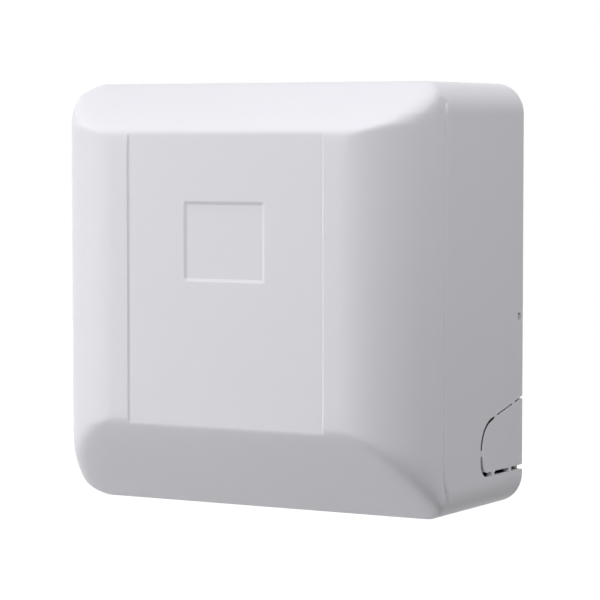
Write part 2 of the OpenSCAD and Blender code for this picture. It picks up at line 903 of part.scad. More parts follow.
module tank_screws() color(steel)
  both_sides() front_screw(lug_x, lug_z, tank_out + lug_t);

// Inlet

// Quarter bend of a pipe in the plane of X and Z, from pointing up to pointing along X
module quarter_bend(r) {
  rotate([90, 0, 0]) rotate_extrude(angle = 90) translate([elbow_bend, 0]) circle(r = r);
}

// Elbow from a vertical nipple to a pipe along X, both with radius r
module inlet_pipe(r, extra) {
  bend_x = inlet_x + elbow_bend;
  bend_z = inlet_z + elbow_bend;
  translate([bend_x, -inlet_out, bend_z]) mirror([0, 0, 1]) mirror([1, 0, 0]) quarter_bend(r);
  post(inlet_x, inlet_out, bend_z, bend_z + nipple_stop_t + nipple_l + extra, r);
  rod(bend_x, inlet_reach - tank_w / 2 + extra, inlet_out, inlet_z, r);
}

module inlet_elbow() color(grey) difference() {
  union() {
    inlet_pipe(inlet_r, 0);
    post(inlet_x, inlet_out, inlet_z + elbow_bend, inlet_z + elbow_bend + nipple_stop_t,
      inlet_r + nipple_stop_r_extra);
    rod(-tank_w / 2 - grommet_lip_t - nipple_stop_t, -tank_w / 2 - grommet_lip_t - snug, inlet_out,
      inlet_z, inlet_r + nipple_stop_r_extra);
  }
  inlet_pipe(inlet_r - spout_t, over);
}

module inlet_grommet() color(black) difference() {
  union() {
    rod(-tank_w / 2 - grommet_lip_t, -tank_w / 2, inlet_out, inlet_z,
      inlet_r + grommet_t + grommet_lip);
    rod(-tank_w / 2 - sink, -tank_w / 2 + tank_t + sink, inlet_out, inlet_z, inlet_r + grommet_t);
    rod(-tank_w / 2 + tank_t, -tank_w / 2 + tank_t + grommet_lip_t, inlet_out, inlet_z,
      inlet_r + grommet_t + grommet_lip);
  }
  rod(-tank_w / 2 - 2 * grommet_lip_t, -tank_w / 2 + tank_t + 2 * grommet_lip_t, inlet_out, inlet_z,
    inlet_r + snug);
}

// Pump

module suction_strainer() color(ivory) difference() {
  translate([pump_x, -pump_out, tank_floor_z]) rotate_extrude() polygon([
    [strainer_r - 2 * strainer_t, 0],
    [strainer_r, 0],
    [strainer_r, strainer_h],
    [neck_r + loose, strainer_h],
    [neck_r + loose, strainer_h - strainer_t],
    [strainer_r - strainer_t, strainer_h - strainer_t],
    [strainer_r - strainer_t, strainer_t],
    [strainer_r - 2 * strainer_t, strainer_t]
  ]);
  for (i = [0:strainer_slots - 1])
    translate([pump_x, -pump_out, tank_floor_z + strainer_band]) rotate([0, 0, 360 * i / strainer_slots])
      translate([strainer_r - 2 * strainer_t, -strainer_slot_w / 2, 0])
        cube([3 * strainer_t, strainer_slot_w, strainer_h - 2 * strainer_band]);
}

// Places of the three long screws through the motor base and the pump cover
module at_pump_screws() {
  for (a = pump_boss_angles)
    translate([pump_x + pump_boss_at * cos(a), -pump_out + pump_boss_at * sin(a), 0]) children();
}

module pump_casing() color(white) difference() {
  union() {
    post(pump_x, pump_out, chamber_z, chamber_top_z, chamber_out_r);
    post(pump_x, pump_out, neck_z, chamber_z + chamber_floor, neck_r);
    rod(pump_x, spout_x, spout_out, spout_z, spout_r);
    for (a = ear_angles)
      translate([pump_x, -pump_out, ear_z]) rotate([0, 0, a]) {
        translate([0, -ear_r, 0]) cube([ear_at, 2 * ear_r, ear_t]);
        translate([ear_at, 0, 0]) cylinder(h = ear_t, r = ear_r);
      }
    at_pump_screws() translate([0, 0, chamber_top_z - pump_boss_h])
      cylinder(h = pump_boss_h, r = pump_boss_r);
  }
  post(pump_x, pump_out, chamber_z + chamber_floor, chamber_top_z + over, chamber_r);
  post(pump_x, pump_out, neck_z - over, chamber_z + chamber_floor + over, neck_r - neck_t);
  rod(pump_x, spout_x + over, spout_out, spout_z, spout_r - spout_t);
  at_mounts() translate([0, 0, ear_z - over]) cylinder(h = ear_t + 2 * over, r = mount_bore_r);
  at_pump_screws() translate([0, 0, chamber_top_z - pump_boss_h + over])
    cylinder(h = pump_boss_h, r = boss_bore_r);
}

// Outline of one blade, swept back as it runs outwards
function blade_points() = let (
  line = [for (i = [0:blade_steps]) let (
    s = i / blade_steps,
    r = hub_r - blade_t + (impeller_r - hub_r + blade_t) * s,
    a = -blade_sweep * s
  ) [r * cos(a), r * sin(a), a - blade_sweep / 2]]
) concat(
  [for (p = line) [p[0] + blade_t / 2 * sin(p[2]), p[1] - blade_t / 2 * cos(p[2])]],
  [for (i = [blade_steps:-1:0]) let (p = line[i])
    [p[0] - blade_t / 2 * sin(p[2]), p[1] + blade_t / 2 * cos(p[2])]]
);

module impeller() color(blue) translate([pump_x, -pump_out, 0]) {
  low_z = chamber_z + chamber_floor + impeller_gap;
  top = low_z + blade_h + shroud_t;
  difference() {
    union() {
      translate([0, 0, low_z]) cylinder(h = top - low_z, r = hub_r);
      translate([0, 0, low_z + blade_h]) cylinder(h = shroud_t, r = impeller_r);
      for (i = [0:blade_count - 1]) rotate([0, 0, 360 * i / blade_count])
        translate([0, 0, low_z]) linear_extrude(blade_h + shroud_t / 2) polygon(blade_points());
      translate([0, 0, neck_z + inducer_clear])
        cylinder(h = low_z - neck_z - inducer_clear + over, r = inducer_r);
      for (i = [0:vane_count - 1]) rotate([0, 0, 360 * i / vane_count])
        translate([0, -vane_t / 2, neck_z + inducer_clear])
          cube([vane_r, vane_t, low_z - neck_z - inducer_clear + over]);
    }
    translate([0, 0, low_z + hub_floor]) cylinder(h = top - low_z, r = shaft_r + snug);
  }
}

module pump_cover() color(white) difference() {
  union() {
    post(pump_x, pump_out, chamber_top_z, chamber_top_z + pump_cover_t, chamber_out_r);
    post(pump_x, pump_out, chamber_top_z, chamber_top_z + pump_cover_t + pump_cover_neck_h,
      pump_cover_neck_r);
    at_pump_screws() translate([0, 0, chamber_top_z])
      cylinder(h = pump_cover_t + pillar_h, r = pump_boss_r);
  }
  post(pump_x, pump_out, chamber_top_z - over, chamber_top_z + pump_cover_t + pillar_h, shaft_hole_r);
  at_pump_screws() translate([0, 0, chamber_top_z - over])
    cylinder(h = pump_cover_t + pillar_h + 2 * over, r = screw_hole_r);
}

module pump_screws() color(steel)
  at_pump_screws() translate([0, 0, motor_case_z])
    screw(screw_r, pump_screw_l, pump_screw_head_r, screw_head_h);

module slinger_ring() color(black) difference() {
  low_z = chamber_top_z + pump_cover_t + pump_cover_neck_h + slinger_gap;
  post(pump_x, pump_out, low_z, low_z + slinger_t, slinger_r);
  post(pump_x, pump_out, low_z - over, low_z + slinger_t + over, shaft_r + snug);
}

module rubber_mounts() color(black)
  at_mounts() translate([0, 0, deck_z]) difference() {
    cylinder(h = mount_h, r = mount_r);
    translate([0, 0, -over]) cylinder(h = mount_h + 2 * over, r = mount_bore_r);
    translate([0, 0, mount_h / 2]) rotate_extrude() translate([mount_r + mount_h / 8, 0])
      circle(r = mount_h / 4);
  }

module mount_screws() color(steel)
  at_mounts() translate([0, 0, ear_z + ear_t])
    screw(screw_r, mount_screw_l, mount_screw_head_r, screw_head_h);

// Motor

module motor_base() color(steel) difference() {
  union() {
    post(pump_x, pump_out, motor_z, motor_case_z, motor_r);
    at_pump_screws() translate([0, 0, motor_z]) cylinder(h = motor_base_t, r = pump_boss_r);
    post(pump_x, pump_out, motor_z, motor_z + bearing_foot + bearing_h, bearing_r + bearing_wall);
  }
  post(pump_x, pump_out, motor_z - over, motor_z + bearing_h + over, shaft_hole_r);
  post(pump_x, pump_out, motor_z + bearing_foot, motor_z + bearing_foot + bearing_h + over,
    bearing_r + snug);
  at_pump_screws() translate([0, 0, motor_z - over])
    cylinder(h = motor_base_t + 2 * over, r = screw_hole_r);
}

// Plain bearing bush with its foot at a height
module bearing_bush(z) difference() {
  post(pump_x, pump_out, z, z + bearing_h, bearing_r);
  post(pump_x, pump_out, z - over, z + bearing_h + over, shaft_r + running);
}

module lower_bearing() color(copper) bearing_bush(motor_z + bearing_foot);

module upper_bearing() color(copper) bearing_bush(motor_top_z - motor_t);

module motor_shaft() color(steel)
  post(pump_x, pump_out, chamber_z + chamber_floor + impeller_gap + hub_floor,
    motor_top_z + bearing_h - motor_t - snug, shaft_r);

module rotor_magnet() color(black) difference() {
  low_z = motor_z + bearing_foot + bearing_h + magnet_gap;
  high_z = motor_top_z - motor_t - magnet_gap;
  post(pump_x, pump_out, low_z, high_z, magnet_r);
  post(pump_x, pump_out, low_z - over, high_z + over, shaft_r + snug);
}

// Steel plate with claws that stand up or hang down round the rotor
module pole_plate(z, up) {
  claw_in = magnet_r + claw_gap;
  claw_w = claw_share * PI * claw_in / claw_count;
  claw_l = coil_h - bobbin_gap;
  translate([pump_x, -pump_out, z]) {
    difference() {
      cylinder(h = pole_t, r = pole_plate_r);
      translate([0, 0, -over]) cylinder(h = pole_t + 2 * over, r = claw_in);
    }
    for (i = [0:claw_count - 1]) rotate([0, 0, 360 * (i + (up ? 0 : 1) / 2) / claw_count])
      translate([claw_in + claw_t / 4, -claw_w / 2, up ? 0 : -claw_l])
        cube([claw_t, claw_w, claw_l + pole_t]);
  }
}

// Heights of the two coil bays
bay_zs = [motor_case_z + pole_gap + pole_t, motor_case_z + pole_gap + 3 * pole_t + coil_h];

module pole_plates() color(grey)
  for (z = bay_zs) {
    pole_plate(z - pole_t, true);
    pole_plate(z + coil_h, false);
  }

module coil_bobbins() color(ivory)
  for (z = bay_zs) {
    sleeve_in = magnet_r + claw_gap + 2 * claw_t;
    translate([pump_x, -pump_out, z + bobbin_gap / 2]) rotate_extrude() polygon([
      [sleeve_in, 0],
      [pole_plate_r - bobbin_gap, 0],
      [pole_plate_r - bobbin_gap, bobbin_t],
      [sleeve_in + bobbin_t, bobbin_t],
      [sleeve_in + bobbin_t, coil_h - bobbin_gap - bobbin_t],
      [pole_plate_r - bobbin_gap, coil_h - bobbin_gap - bobbin_t],
      [pole_plate_r - bobbin_gap, coil_h - bobbin_gap],
      [sleeve_in, coil_h - bobbin_gap]
    ]);
  }

module coil_windings() color(copper)
  for (z = bay_zs) {
    sleeve_r = magnet_r + claw_gap + 2 * claw_t + bobbin_t;
    low_z = z + bobbin_gap / 2 + bobbin_t + snug;
    high_z = z + coil_h - bobbin_gap / 2 - bobbin_t - snug;
    difference() {
      post(pump_x, pump_out, low_z, high_z, pole_plate_r - bobbin_gap - winding_in);
      post(pump_x, pump_out, low_z - over, high_z + over, sleeve_r + snug);
    }
  }

module motor_case() color(steel) difference() {
  union() {
    post(pump_x, pump_out, motor_case_z, motor_top_z, motor_r);
    post(pump_x, pump_out, motor_top_z - motor_t, motor_top_z + bearing_h - motor_t + cap_t,
      bearing_r + cap_t);
  }
  post(pump_x, pump_out, motor_case_z - over, motor_top_z - motor_t, motor_r - motor_t);
  post(pump_x, pump_out, motor_top_z - 2 * motor_t, motor_top_z + bearing_h - motor_t,
    bearing_r + snug);
}

// Discharge line

module pump_hose() color(black) difference() {
  rod(spout_x - hose_overlap, barb_x + barb_l - over, spout_out, spout_z, spout_r + snug + hose_t);
  rod(spout_x - hose_overlap - over, barb_x + barb_l, spout_out, spout_z, spout_r + snug);
}

module hose_clips() color(steel) {
  ring_in = spout_r + hose_t + 2 * snug;
  for (x = [spout_x - hose_overlap / 2 - clip_w / 2, barb_x + hose_overlap / 2 - clip_w / 2])
    difference() {
      union() {
        rod(x, x + clip_w, spout_out, spout_z, ring_in + clip_t);
        for (side = [-1, 1]) block(x, x + clip_w, spout_out + side * clip_t - clip_t / 2,
          spout_out + side * clip_t + clip_t / 2, spout_z + ring_in, spout_z + ring_in + clip_t + clip_ear);
      }
      rod(x - over, x + clip_w + over, spout_out, spout_z, ring_in);
    }
}

// Hinge of the flap
hinge_x = seat_x + seat_t + hinge_ahead;
hinge_z = valve_z + hinge_rise;

module valve_body() color(white) difference() {
  union() {
    difference() {
      union() {
        rod(barb_x, seat_x + over, valve_out, valve_z, spout_r);
        rod(seat_x, valve_end_x, valve_out, valve_z, valve_out_r);
      }
      rod(seat_x + seat_t, valve_end_x + over, valve_out, valve_z, valve_r);
    }
    intersection() {
      rod(seat_x, valve_end_x, valve_out, valve_z, valve_out_r);
      for (side = [-1, 1]) block(seat_x + seat_t - sink, hinge_x + hinge_ear_r,
        valve_out + side * (knuckle_l + loose + hinge_ear_t) / 2 + side * loose / 2 - hinge_ear_t / 2,
        valve_out + side * (knuckle_l + loose + hinge_ear_t) / 2 + side * loose / 2 + hinge_ear_t / 2,
        hinge_z - hinge_ear_r, hinge_z + hinge_ear_r);
    }
  }
  rod(barb_x - over, barb_x + barb_l, valve_out, valve_z, spout_r - spout_t);
  rod(barb_x, seat_x + seat_t + over, valve_out, valve_z, seat_r);
  translate([hinge_x, -valve_out + pin_l / 2 + snug, hinge_z]) rotate([90, 0, 0])
    cylinder(h = pin_l + 2 * snug, r = pin_r + running);
}

module flap_pin() color(steel)
  translate([hinge_x, -valve_out + pin_l / 2, hinge_z]) rotate([90, 0, 0])
    cylinder(h = pin_l, r = pin_r);

module valve_flap() color(black) {
  flap_x = seat_x + seat_t + flap_gap;
  difference() {
    union() {
      rod(flap_x, flap_x + flap_t, valve_out, valve_z, flap_r);
      rod(flap_x, flap_x + flap_t + flap_weight_l, valve_out, valve_z, flap_weight_r);
      block(flap_x, flap_x + flap_t, valve_out - knuckle_l / 2, valve_out + knuckle_l / 2,
        valve_z, hinge_z);
      translate([hinge_x, -valve_out + knuckle_l / 2, hinge_z]) rotate([90, 0, 0])
        cylinder(h = knuckle_l, r = knuckle_r);
    }
    translate([hinge_x, -valve_out + knuckle_l / 2 + over, hinge_z]) rotate([90, 0, 0])
      cylinder(h = knuckle_l + 2 * over, r = pin_r + running);
  }
}

module valve_seal() color(black) difference() {
  rod(valve_end_x, valve_end_x + valve_seal_t, valve_out, valve_z, valve_out_r);
  rod(valve_end_x - over, valve_end_x + valve_seal_t + over, valve_out, valve_z, valve_r - snug);
}

// Elbow from the valve to a nipple that points down
module outlet_pipe(r, extra) {
  flange_x = valve_end_x + valve_seal_t;
  bend_x = outlet_x - elbow_bend;
  translate([bend_x, -valve_out, outlet_top_z]) quarter_bend(r);
  rod(flange_x - extra, bend_x, valve_out, valve_z, r);
  post(outlet_x, valve_out, outlet_top_z - nipple_stop_t - nipple_l - extra, outlet_top_z, r);
}

module outlet_elbow() color(grey) difference() {
  flange_x = valve_end_x + valve_seal_t;
  union() {
    outlet_pipe(outlet_r, 0);
    post(outlet_x, valve_out, outlet_top_z - nipple_stop_t, outlet_top_z, outlet_r + nipple_stop_r_extra);
    rod(flange_x, flange_x + elbow_flange_t, valve_out, valve_z, valve_out_r);
    rod(flange_x - elbow_plug_l - valve_seal_t, flange_x + sink, valve_out, valve_z,
      valve_r - 2 * snug);
  }
  outlet_pipe(outlet_r - spout_t, over);
  rod(flange_x - elbow_plug_l - valve_seal_t - over, flange_x, valve_out, valve_z,
    valve_r - spout_t);
}

// Level switches

// Height of a float's underside above the foot of its stem
float_up = clip_ring_up + clip_ring_t + float_seat_gap;

// Hollow stem with its flange under the lid and its thread through it
module float_stem(x, foot_z) difference() {
  union() {
    post(x, float_out, foot_z, lid_z, stem_r);
    post(x, float_out, lid_z - stem_flange_t, lid_z, stem_flange_r);
    post(x, float_out, lid_z - sink, deck_z + thread_h, thread_r);
  }
  post(x, float_out, foot_z + stem_end_t, deck_z + thread_h + over, stem_bore_r);
}

// Float with a pocket in its top for the ring magnet
module float_body(x, foot_z) difference() {
  low_z = foot_z + float_up;
  post(x, float_out, low_z, low_z + float_h, float_r);
  post(x, float_out, low_z - over, low_z + float_h + over, stem_r + float_bore_gap);
  difference() {
    post(x, float_out, low_z + float_h - magnet_ring_h, low_z + float_h + over, magnet_ring_r + snug);
    post(x, float_out, low_z, low_z + float_h + 2 * over, magnet_ring_in - snug);
  }
}

module float_ring_magnet(x, foot_z) difference() {
  high_z = foot_z + float_up + float_h;
  post(x, float_out, high_z - magnet_ring_h, high_z, magnet_ring_r);
  post(x, float_out, high_z - magnet_ring_h - over, high_z + over, magnet_ring_in);
}

module run_float() color(white) float_body(run_x, run_stem_z);

module run_float_magnet() color(grey) float_ring_magnet(run_x, run_stem_z);

module run_float_stem() color(ivory) float_stem(run_x, run_stem_z);

module alarm_float() color(white) float_body(alarm_x, alarm_stem_z);

module alarm_float_magnet() color(grey) float_ring_magnet(alarm_x, alarm_stem_z);

module alarm_float_stem() color(ivory) float_stem(alarm_x, alarm_stem_z);

module stem_nuts() color(ivory)
  for (x = [run_x, alarm_x]) difference() {
    translate([x, -float_out, deck_z]) cylinder(h = nut_h, r = nut_r, $fn = 6);
    post(x, float_out, deck_z - over, deck_z + nut_h + over, thread_r + snug);
  }

module stem_clips() color(steel)
  for (place = [[run_x, run_stem_z], [alarm_x, alarm_stem_z]]) {
    low_z = place[1] + clip_ring_up;
    difference() {
      post(place[0], float_out, low_z, low_z + clip_ring_t, clip_ring_r);
      post(place[0], float_out, low_z - over, low_z + clip_ring_t + over, stem_r + snug);
      block(place[0] - stem_r / 2, place[0] + stem_r / 2, float_out, float_out + clip_ring_r + over,
        low_z - over, low_z + clip_ring_t + over);
    }
  }

// Glass reed in each stem, at the height that the raised magnet reaches
module reed_switches() color(clear_blue)
  for (place = [[run_x, run_stem_z + run_rise], [alarm_x, alarm_stem_z + alarm_rise]]) {
    magnet_z = place[1] + float_up + float_h - magnet_ring_h / 2;
    post(place[0], float_out, magnet_z - reed_l / 2, magnet_z + reed_l / 2, reed_r);
    post(place[0], float_out, magnet_z, deck_z + thread_h, reed_wire_r);
  }

// Control box

// Outline of the control box in width and height, grown or shrunk
module box_outline(grow) {
  translate([0, box_mid_z]) polygon(round_rect(box_w + 2 * grow, box_h + 2 * grow, box_r + grow));
}

// Places of the box lid's two posts, as X and Z
box_posts = [[box_w / 2 - box_post_in, box_mid_z], [box_post_in - box_w / 2, box_mid_z]];

module control_box() color(ivory) difference() {
  union() {
    difference() {
      forward(box_back, box_out) box_outline(0);
      forward(box_back + box_t, box_out + over) box_outline(-box_t);
    }
    for (p = box_posts) peg(p[0], p[1], box_back + box_t / 2, box_out, box_post_r);
    for (x = [-1, 1], z = [-1, 1])
      peg(x * (board_w / 2 - board_hole_in), box_mid_z + z * (board_h / 2 - board_hole_in),
        box_back + box_t / 2, board_back, standoff_r);
  }
  for (p = box_posts) peg(p[0], p[1], box_out - boss_bore_l, box_out + over, boss_bore_r);
  for (x = [-1, 1], z = [-1, 1])
    peg(x * (board_w / 2 - board_hole_in), box_mid_z + z * (board_h / 2 - board_hole_in),
      board_back - boss_bore_l + over, board_back + over, boss_bore_r);
  for (z = [box_z + box_boss_in, box_z + box_h - box_boss_in])
    both_sides() peg(box_boss_x, z, box_back - over, box_back + box_t + over, screw_hole_r);
  for (x = plug_xs) block(x - box_notch_w / 2, x + box_notch_w / 2, box_out - box_notch_h,
    box_out + over, box_z - over, box_z + box_t + over);
  block(box_w / 2 - box_t - over, box_w / 2 + over, box_out - box_notch_h, box_out + over,
    box_z + box_boss_in, box_z + box_boss_in + box_notch_w);
}

module control_box_lid() color(ivory) difference() {
  union() {
    forward(box_out, box_out + box_lid_t) box_outline(0);
    difference() {
      forward(box_out - box_lip_h, box_out + box_lid_t / 2) box_outline(-box_t - loose);
      forward(box_out - box_lip_h - over, box_out + box_lid_t) box_outline(-box_t - loose - box_lip_t);
      for (p = box_posts) peg(p[0], p[1], box_out - box_lip_h - over, box_out, box_post_r + loose);
    }
  }
  for (p = box_posts) peg(p[0], p[1], box_out - over, box_out + box_lid_t + over, screw_hole_r);
  peg(switch_at[0], box_mid_z + switch_at[1], box_out - over, box_out + box_lid_t + over,
    button_r + loose);
  peg(lamp_at[0], box_mid_z + lamp_at[1], box_out - over, box_out + box_lid_t + over,
    lamp_r + loose);
}

module control_board() color(green) difference() {
  translate([0, 0, box_mid_z]) forward(board_back, board_front)
    square([board_w, board_h], center = true);
  for (x = [-1, 1], z = [-1, 1])
    peg(x * (board_w / 2 - board_hole_in), box_mid_z + z * (board_h / 2 - board_hole_in),
      board_back - over, board_front + over, screw_hole_r);
}

// Box that stands on the board, with its middle at a place on it
module board_block(at, size, lift = 0) {
  block(at[0] - size[0] / 2, at[0] + size[0] / 2, board_front + lift, board_front + lift + size[2],
    box_mid_z + at[1] - size[1] / 2, box_mid_z + at[1] + size[1] / 2);
}

module power_relay() color(blue) board_block(relay_at, relay_size);

module capacitor() color(black)
  peg(cap_at[0], box_mid_z + cap_at[1], board_front, board_front + cap_h, cap_r);

// Laminated core with the wound bobbin in its middle
module transformer() color(grey) {
  board_block(core_at, [core_size[0], core_size[1] - 2 * core_leg, core_size[2]]);
  board_block(core_at, [core_size[0] - 2 * core_leg, core_size[1], core_size[2] - core_leg], core_leg / 2);
}

// Glass fuse along X between two clips
module fuse() color(steel) {
  x = fuse_at[0];
  z = box_mid_z + fuse_at[1];
  rod(x - fuse_l / 2, x + fuse_l / 2, board_front + fuse_up, z, fuse_r);
  for (side = [-1, 1])
    board_block([x + side * (fuse_l - fuse_clip_t) / 2, fuse_at[1]],
      [fuse_clip_t, fuse_clip_w, fuse_up + fuse_r / 2]);
}

// Place of each terminal along X
function terminal_x(i) =
  terminal_at[0] + terminal_size[0] * ((i + 1 / 2) / terminal_poles - 1 / 2);

module terminal_block() color(grey) difference() {
  board_block(terminal_at, terminal_size);
  for (i = [0:terminal_poles - 1]) {
    peg(terminal_x(i), box_mid_z + terminal_at[1], board_front + terminal_size[2] - terminal_screw_h - over,
      board_front + terminal_size[2] + over, terminal_screw_r + snug);
    board_block([terminal_x(i), terminal_at[1] - terminal_size[1] / 2],
      [terminal_size[0] / terminal_poles - 2 * terminal_wall, terminal_size[1] / 2,
        terminal_size[2] / 3], terminal_wall);
  }
}

module terminal_screws() color(steel)
  for (i = [0:terminal_poles - 1])
    translate([terminal_x(i), -board_front - terminal_size[2] + over, box_mid_z + terminal_at[1]])
      rotate([90, 0, 0]) difference() {
        translate([0, 0, -terminal_screw_h]) cylinder(h = terminal_screw_h, r = terminal_screw_r);
        translate([-terminal_screw_r - over, -recess_w / 2, -recess_d])
          cube([2 * terminal_screw_r + 2 * over, recess_w, recess_d + over]);
      }

module plug_connectors() color(white)
  for (x = plug_xs) difference() {
    board_block([x, -plug_drop], plug_size);
    board_block([x, -plug_drop], plug_size - [2 * plug_wall, 2 * plug_wall, 0], plug_wall);
  }

module test_switch() color(black) difference() {
  board_block(switch_at, [switch_size, switch_size, switch_h]);
  peg(switch_at[0], box_mid_z + switch_at[1],
    board_front + switch_h - plunger_in - button_travel - plunger_gap,
    board_front + switch_h + over, plunger_r + plunger_gap);
}

module test_button() color(blue) {
  x = switch_at[0];
  z = box_mid_z + switch_at[1];
  flange_out = box_out - button_flange_t - loose;
  peg(x, z, board_front + switch_h - plunger_in, box_out, plunger_r);
  peg(x, z, flange_out, flange_out + button_flange_t, button_flange_r);
  peg(x, z, flange_out, box_out + box_lid_t + button_proud, button_r);
}

module status_lamp() color(green) {
  x = lamp_at[0];
  z = box_mid_z + lamp_at[1];
  front = box_out + box_lid_t + lamp_proud;
  peg(x, z, front - lamp_l, front, lamp_r);
  for (side = [-1, 1]) peg(x + side * lamp_leg_gap, z, board_front, front - lamp_l + over, lamp_leg_r);
}

module control_screws() color(steel) {
  for (z = [box_z + box_boss_in, box_z + box_h - box_boss_in])
    both_sides() front_screw(box_boss_x, z, box_back + box_t);
  for (x = [-1, 1], z = [-1, 1])
    front_screw(x * (board_w / 2 - board_hole_in), box_mid_z + z * (board_h / 2 - board_hole_in),
      board_front);
  for (p = box_posts) front_screw(p[0], p[1], box_out + box_lid_t);
}

// Bridge that holds the supply cable against the back plate
module cable_clamp() color(ivory) {
  foot = clamp_w / 2 - clamp_leg;
  difference() {
    block(cable_hole_x - clamp_w / 2, cable_hole_x + clamp_w / 2, plate_t, plate_t + clamp_up,
      clamp_z - clamp_h / 2, clamp_z + clamp_h / 2);
    block(cable_hole_x - foot, cable_hole_x + foot, plate_t - over, plate_t + clamp_up - clamp_t,
      clamp_z - clamp_h, clamp_z + clamp_h);
    for (side = [-1, 1])
      peg(cable_hole_x + side * (clamp_w / 2 - clamp_leg / 2), clamp_z, plate_t - over,
        plate_t + clamp_up + over, screw_hole_r);
  }
}

module clamp_screws() color(steel)
  for (side = [-1, 1])
    translate([cable_hole_x + side * (clamp_w / 2 - clamp_leg / 2), -plate_t - clamp_up, clamp_z])
      rotate([90, 0, 0]) screw(screw_r, clamp_screw_l, screw_head_r, screw_head_h);

// Leads

// Point on a smooth curve through four guide points
function guide(p, t) =
  pow(1 - t, 3) * p[0] + 3 * pow(1 - t, 2) * t * p[1] + 3 * (1 - t) * t * t * p[2] + pow(t, 3) * p[3];

// Round tube swept along two curves, one after the other
module lead(first, second) {
  line = concat(
    [for (i = [0:lead_rings - 1]) guide(first, i / lead_rings)],
    [for (i = [0:lead_rings]) guide(second, i / lead_rings)]
  );
  last = len(line) - 1;
  way = [for (i = [0:last]) let (d = line[min(i + 1, last)] - line[max(i - 1, 0)]) d / norm(d)];
  side = [for (w = way) let (c = cross(w, [1, 0, 0])) c / norm(c)];
  points = [for (i = [0:last], k = [0:lead_sides - 1]) let (a = 360 * k / lead_sides)
    line[i] + lead_r * (cos(a) * side[i] + sin(a) * cross(side[i], way[i]))];
  faces = concat(
    [[for (k = [lead_sides - 1:-1:0]) k]],
    [for (i = [0:last - 1], k = [0:lead_sides - 1], half = [0, 1]) let (
      a = i * lead_sides + k,
      b = i * lead_sides + (k + 1) % lead_sides
    ) half == 0 ? [a, b, a + lead_sides] : [a + lead_sides, b, b + lead_sides]],
    [[for (k = [0:lead_sides - 1]) last * lead_sides + k]]
  );
  polyhedron(points = points, faces = faces);
}

// Second half of a lead: through its notch and back to its plug
function lead_end(x) = let (
  plug_front = board_front + plug_size[2] + snug,
  notch_out = box_out - box_notch_h / 2,
  plug_z = box_mid_z - plug_drop
) [
  [x, -notch_out, box_z],
  [x, -notch_out, plug_z],
  [x, -(notch_out + plug_front) / 2, plug_z],
  [x, -plug_front, plug_z]
];

module lead_wires() color(black) {
  stem_top_z = deck_z + thread_h + snug;
  notch_out = box_out - box_notch_h / 2;
  lift = (box_z - stem_top_z) * lead_lift_share;
  for (pair = [[run_x, plug_xs[1]], [alarm_x, plug_xs[2]]])
    lead([
      [pair[0], -float_out, stem_top_z],
      [pair[0], -float_out, stem_top_z + lift],
      [pair[1], -notch_out, box_z - lift],
      [pair[1], -notch_out, box_z]
    ], lead_end(pair[1]));
  start_r = (motor_r + loose) * sin(45);
  sweep_r = start_r + lead_start;
  start_z = motor_case_z + motor_h * lead_start_share;
  lead([
    [pump_x + start_r, -pump_out - start_r, start_z],
    [pump_x + sweep_r, -pump_out - sweep_r, start_z],
    [plug_xs[0], -notch_out - lead_drop, start_z],
    [plug_xs[0], -notch_out, box_z]
  ], lead_end(plug_xs[0]));
}

front_cover();
back_plate();
cover_catches();
drain_tank();
tank_gasket();
tank_lid();
lid_screws();
tank_screws();
inlet_elbow();
inlet_grommet();
suction_strainer();
pump_casing();
impeller();
pump_cover();
pump_screws();
slinger_ring();
rubber_mounts();
mount_screws();
motor_base();
lower_bearing();
upper_bearing();
motor_shaft();
rotor_magnet();
pole_plates();
coil_bobbins();
coil_windings();
motor_case();
pump_hose();
hose_clips();
valve_body();
valve_seal();
valve_flap();
flap_pin();
outlet_elbow();
run_float();
run_float_magnet();
run_float_stem();
alarm_float();
alarm_float_magnet();
alarm_float_stem();
stem_nuts();
stem_clips();
reed_switches();
control_box();
control_box_lid();
control_board();
power_relay();
capacitor();
transformer();
fuse();
terminal_block();
terminal_screws();
plug_connectors();
test_switch();
test_button();
status_lamp();
control_screws();
cable_clamp();
clamp_screws();
lead_wires();
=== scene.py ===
"""Looks of the air conditioner drain pump.

The moulded cover is rebuilt here as one smooth shell with soft mitres, the leads are
rounded, and every CAD node gets its surface. Lengths are in millimetres until they
reach a mesh; X is to the right, Y into the wall and Z up.
"""

import json
import math

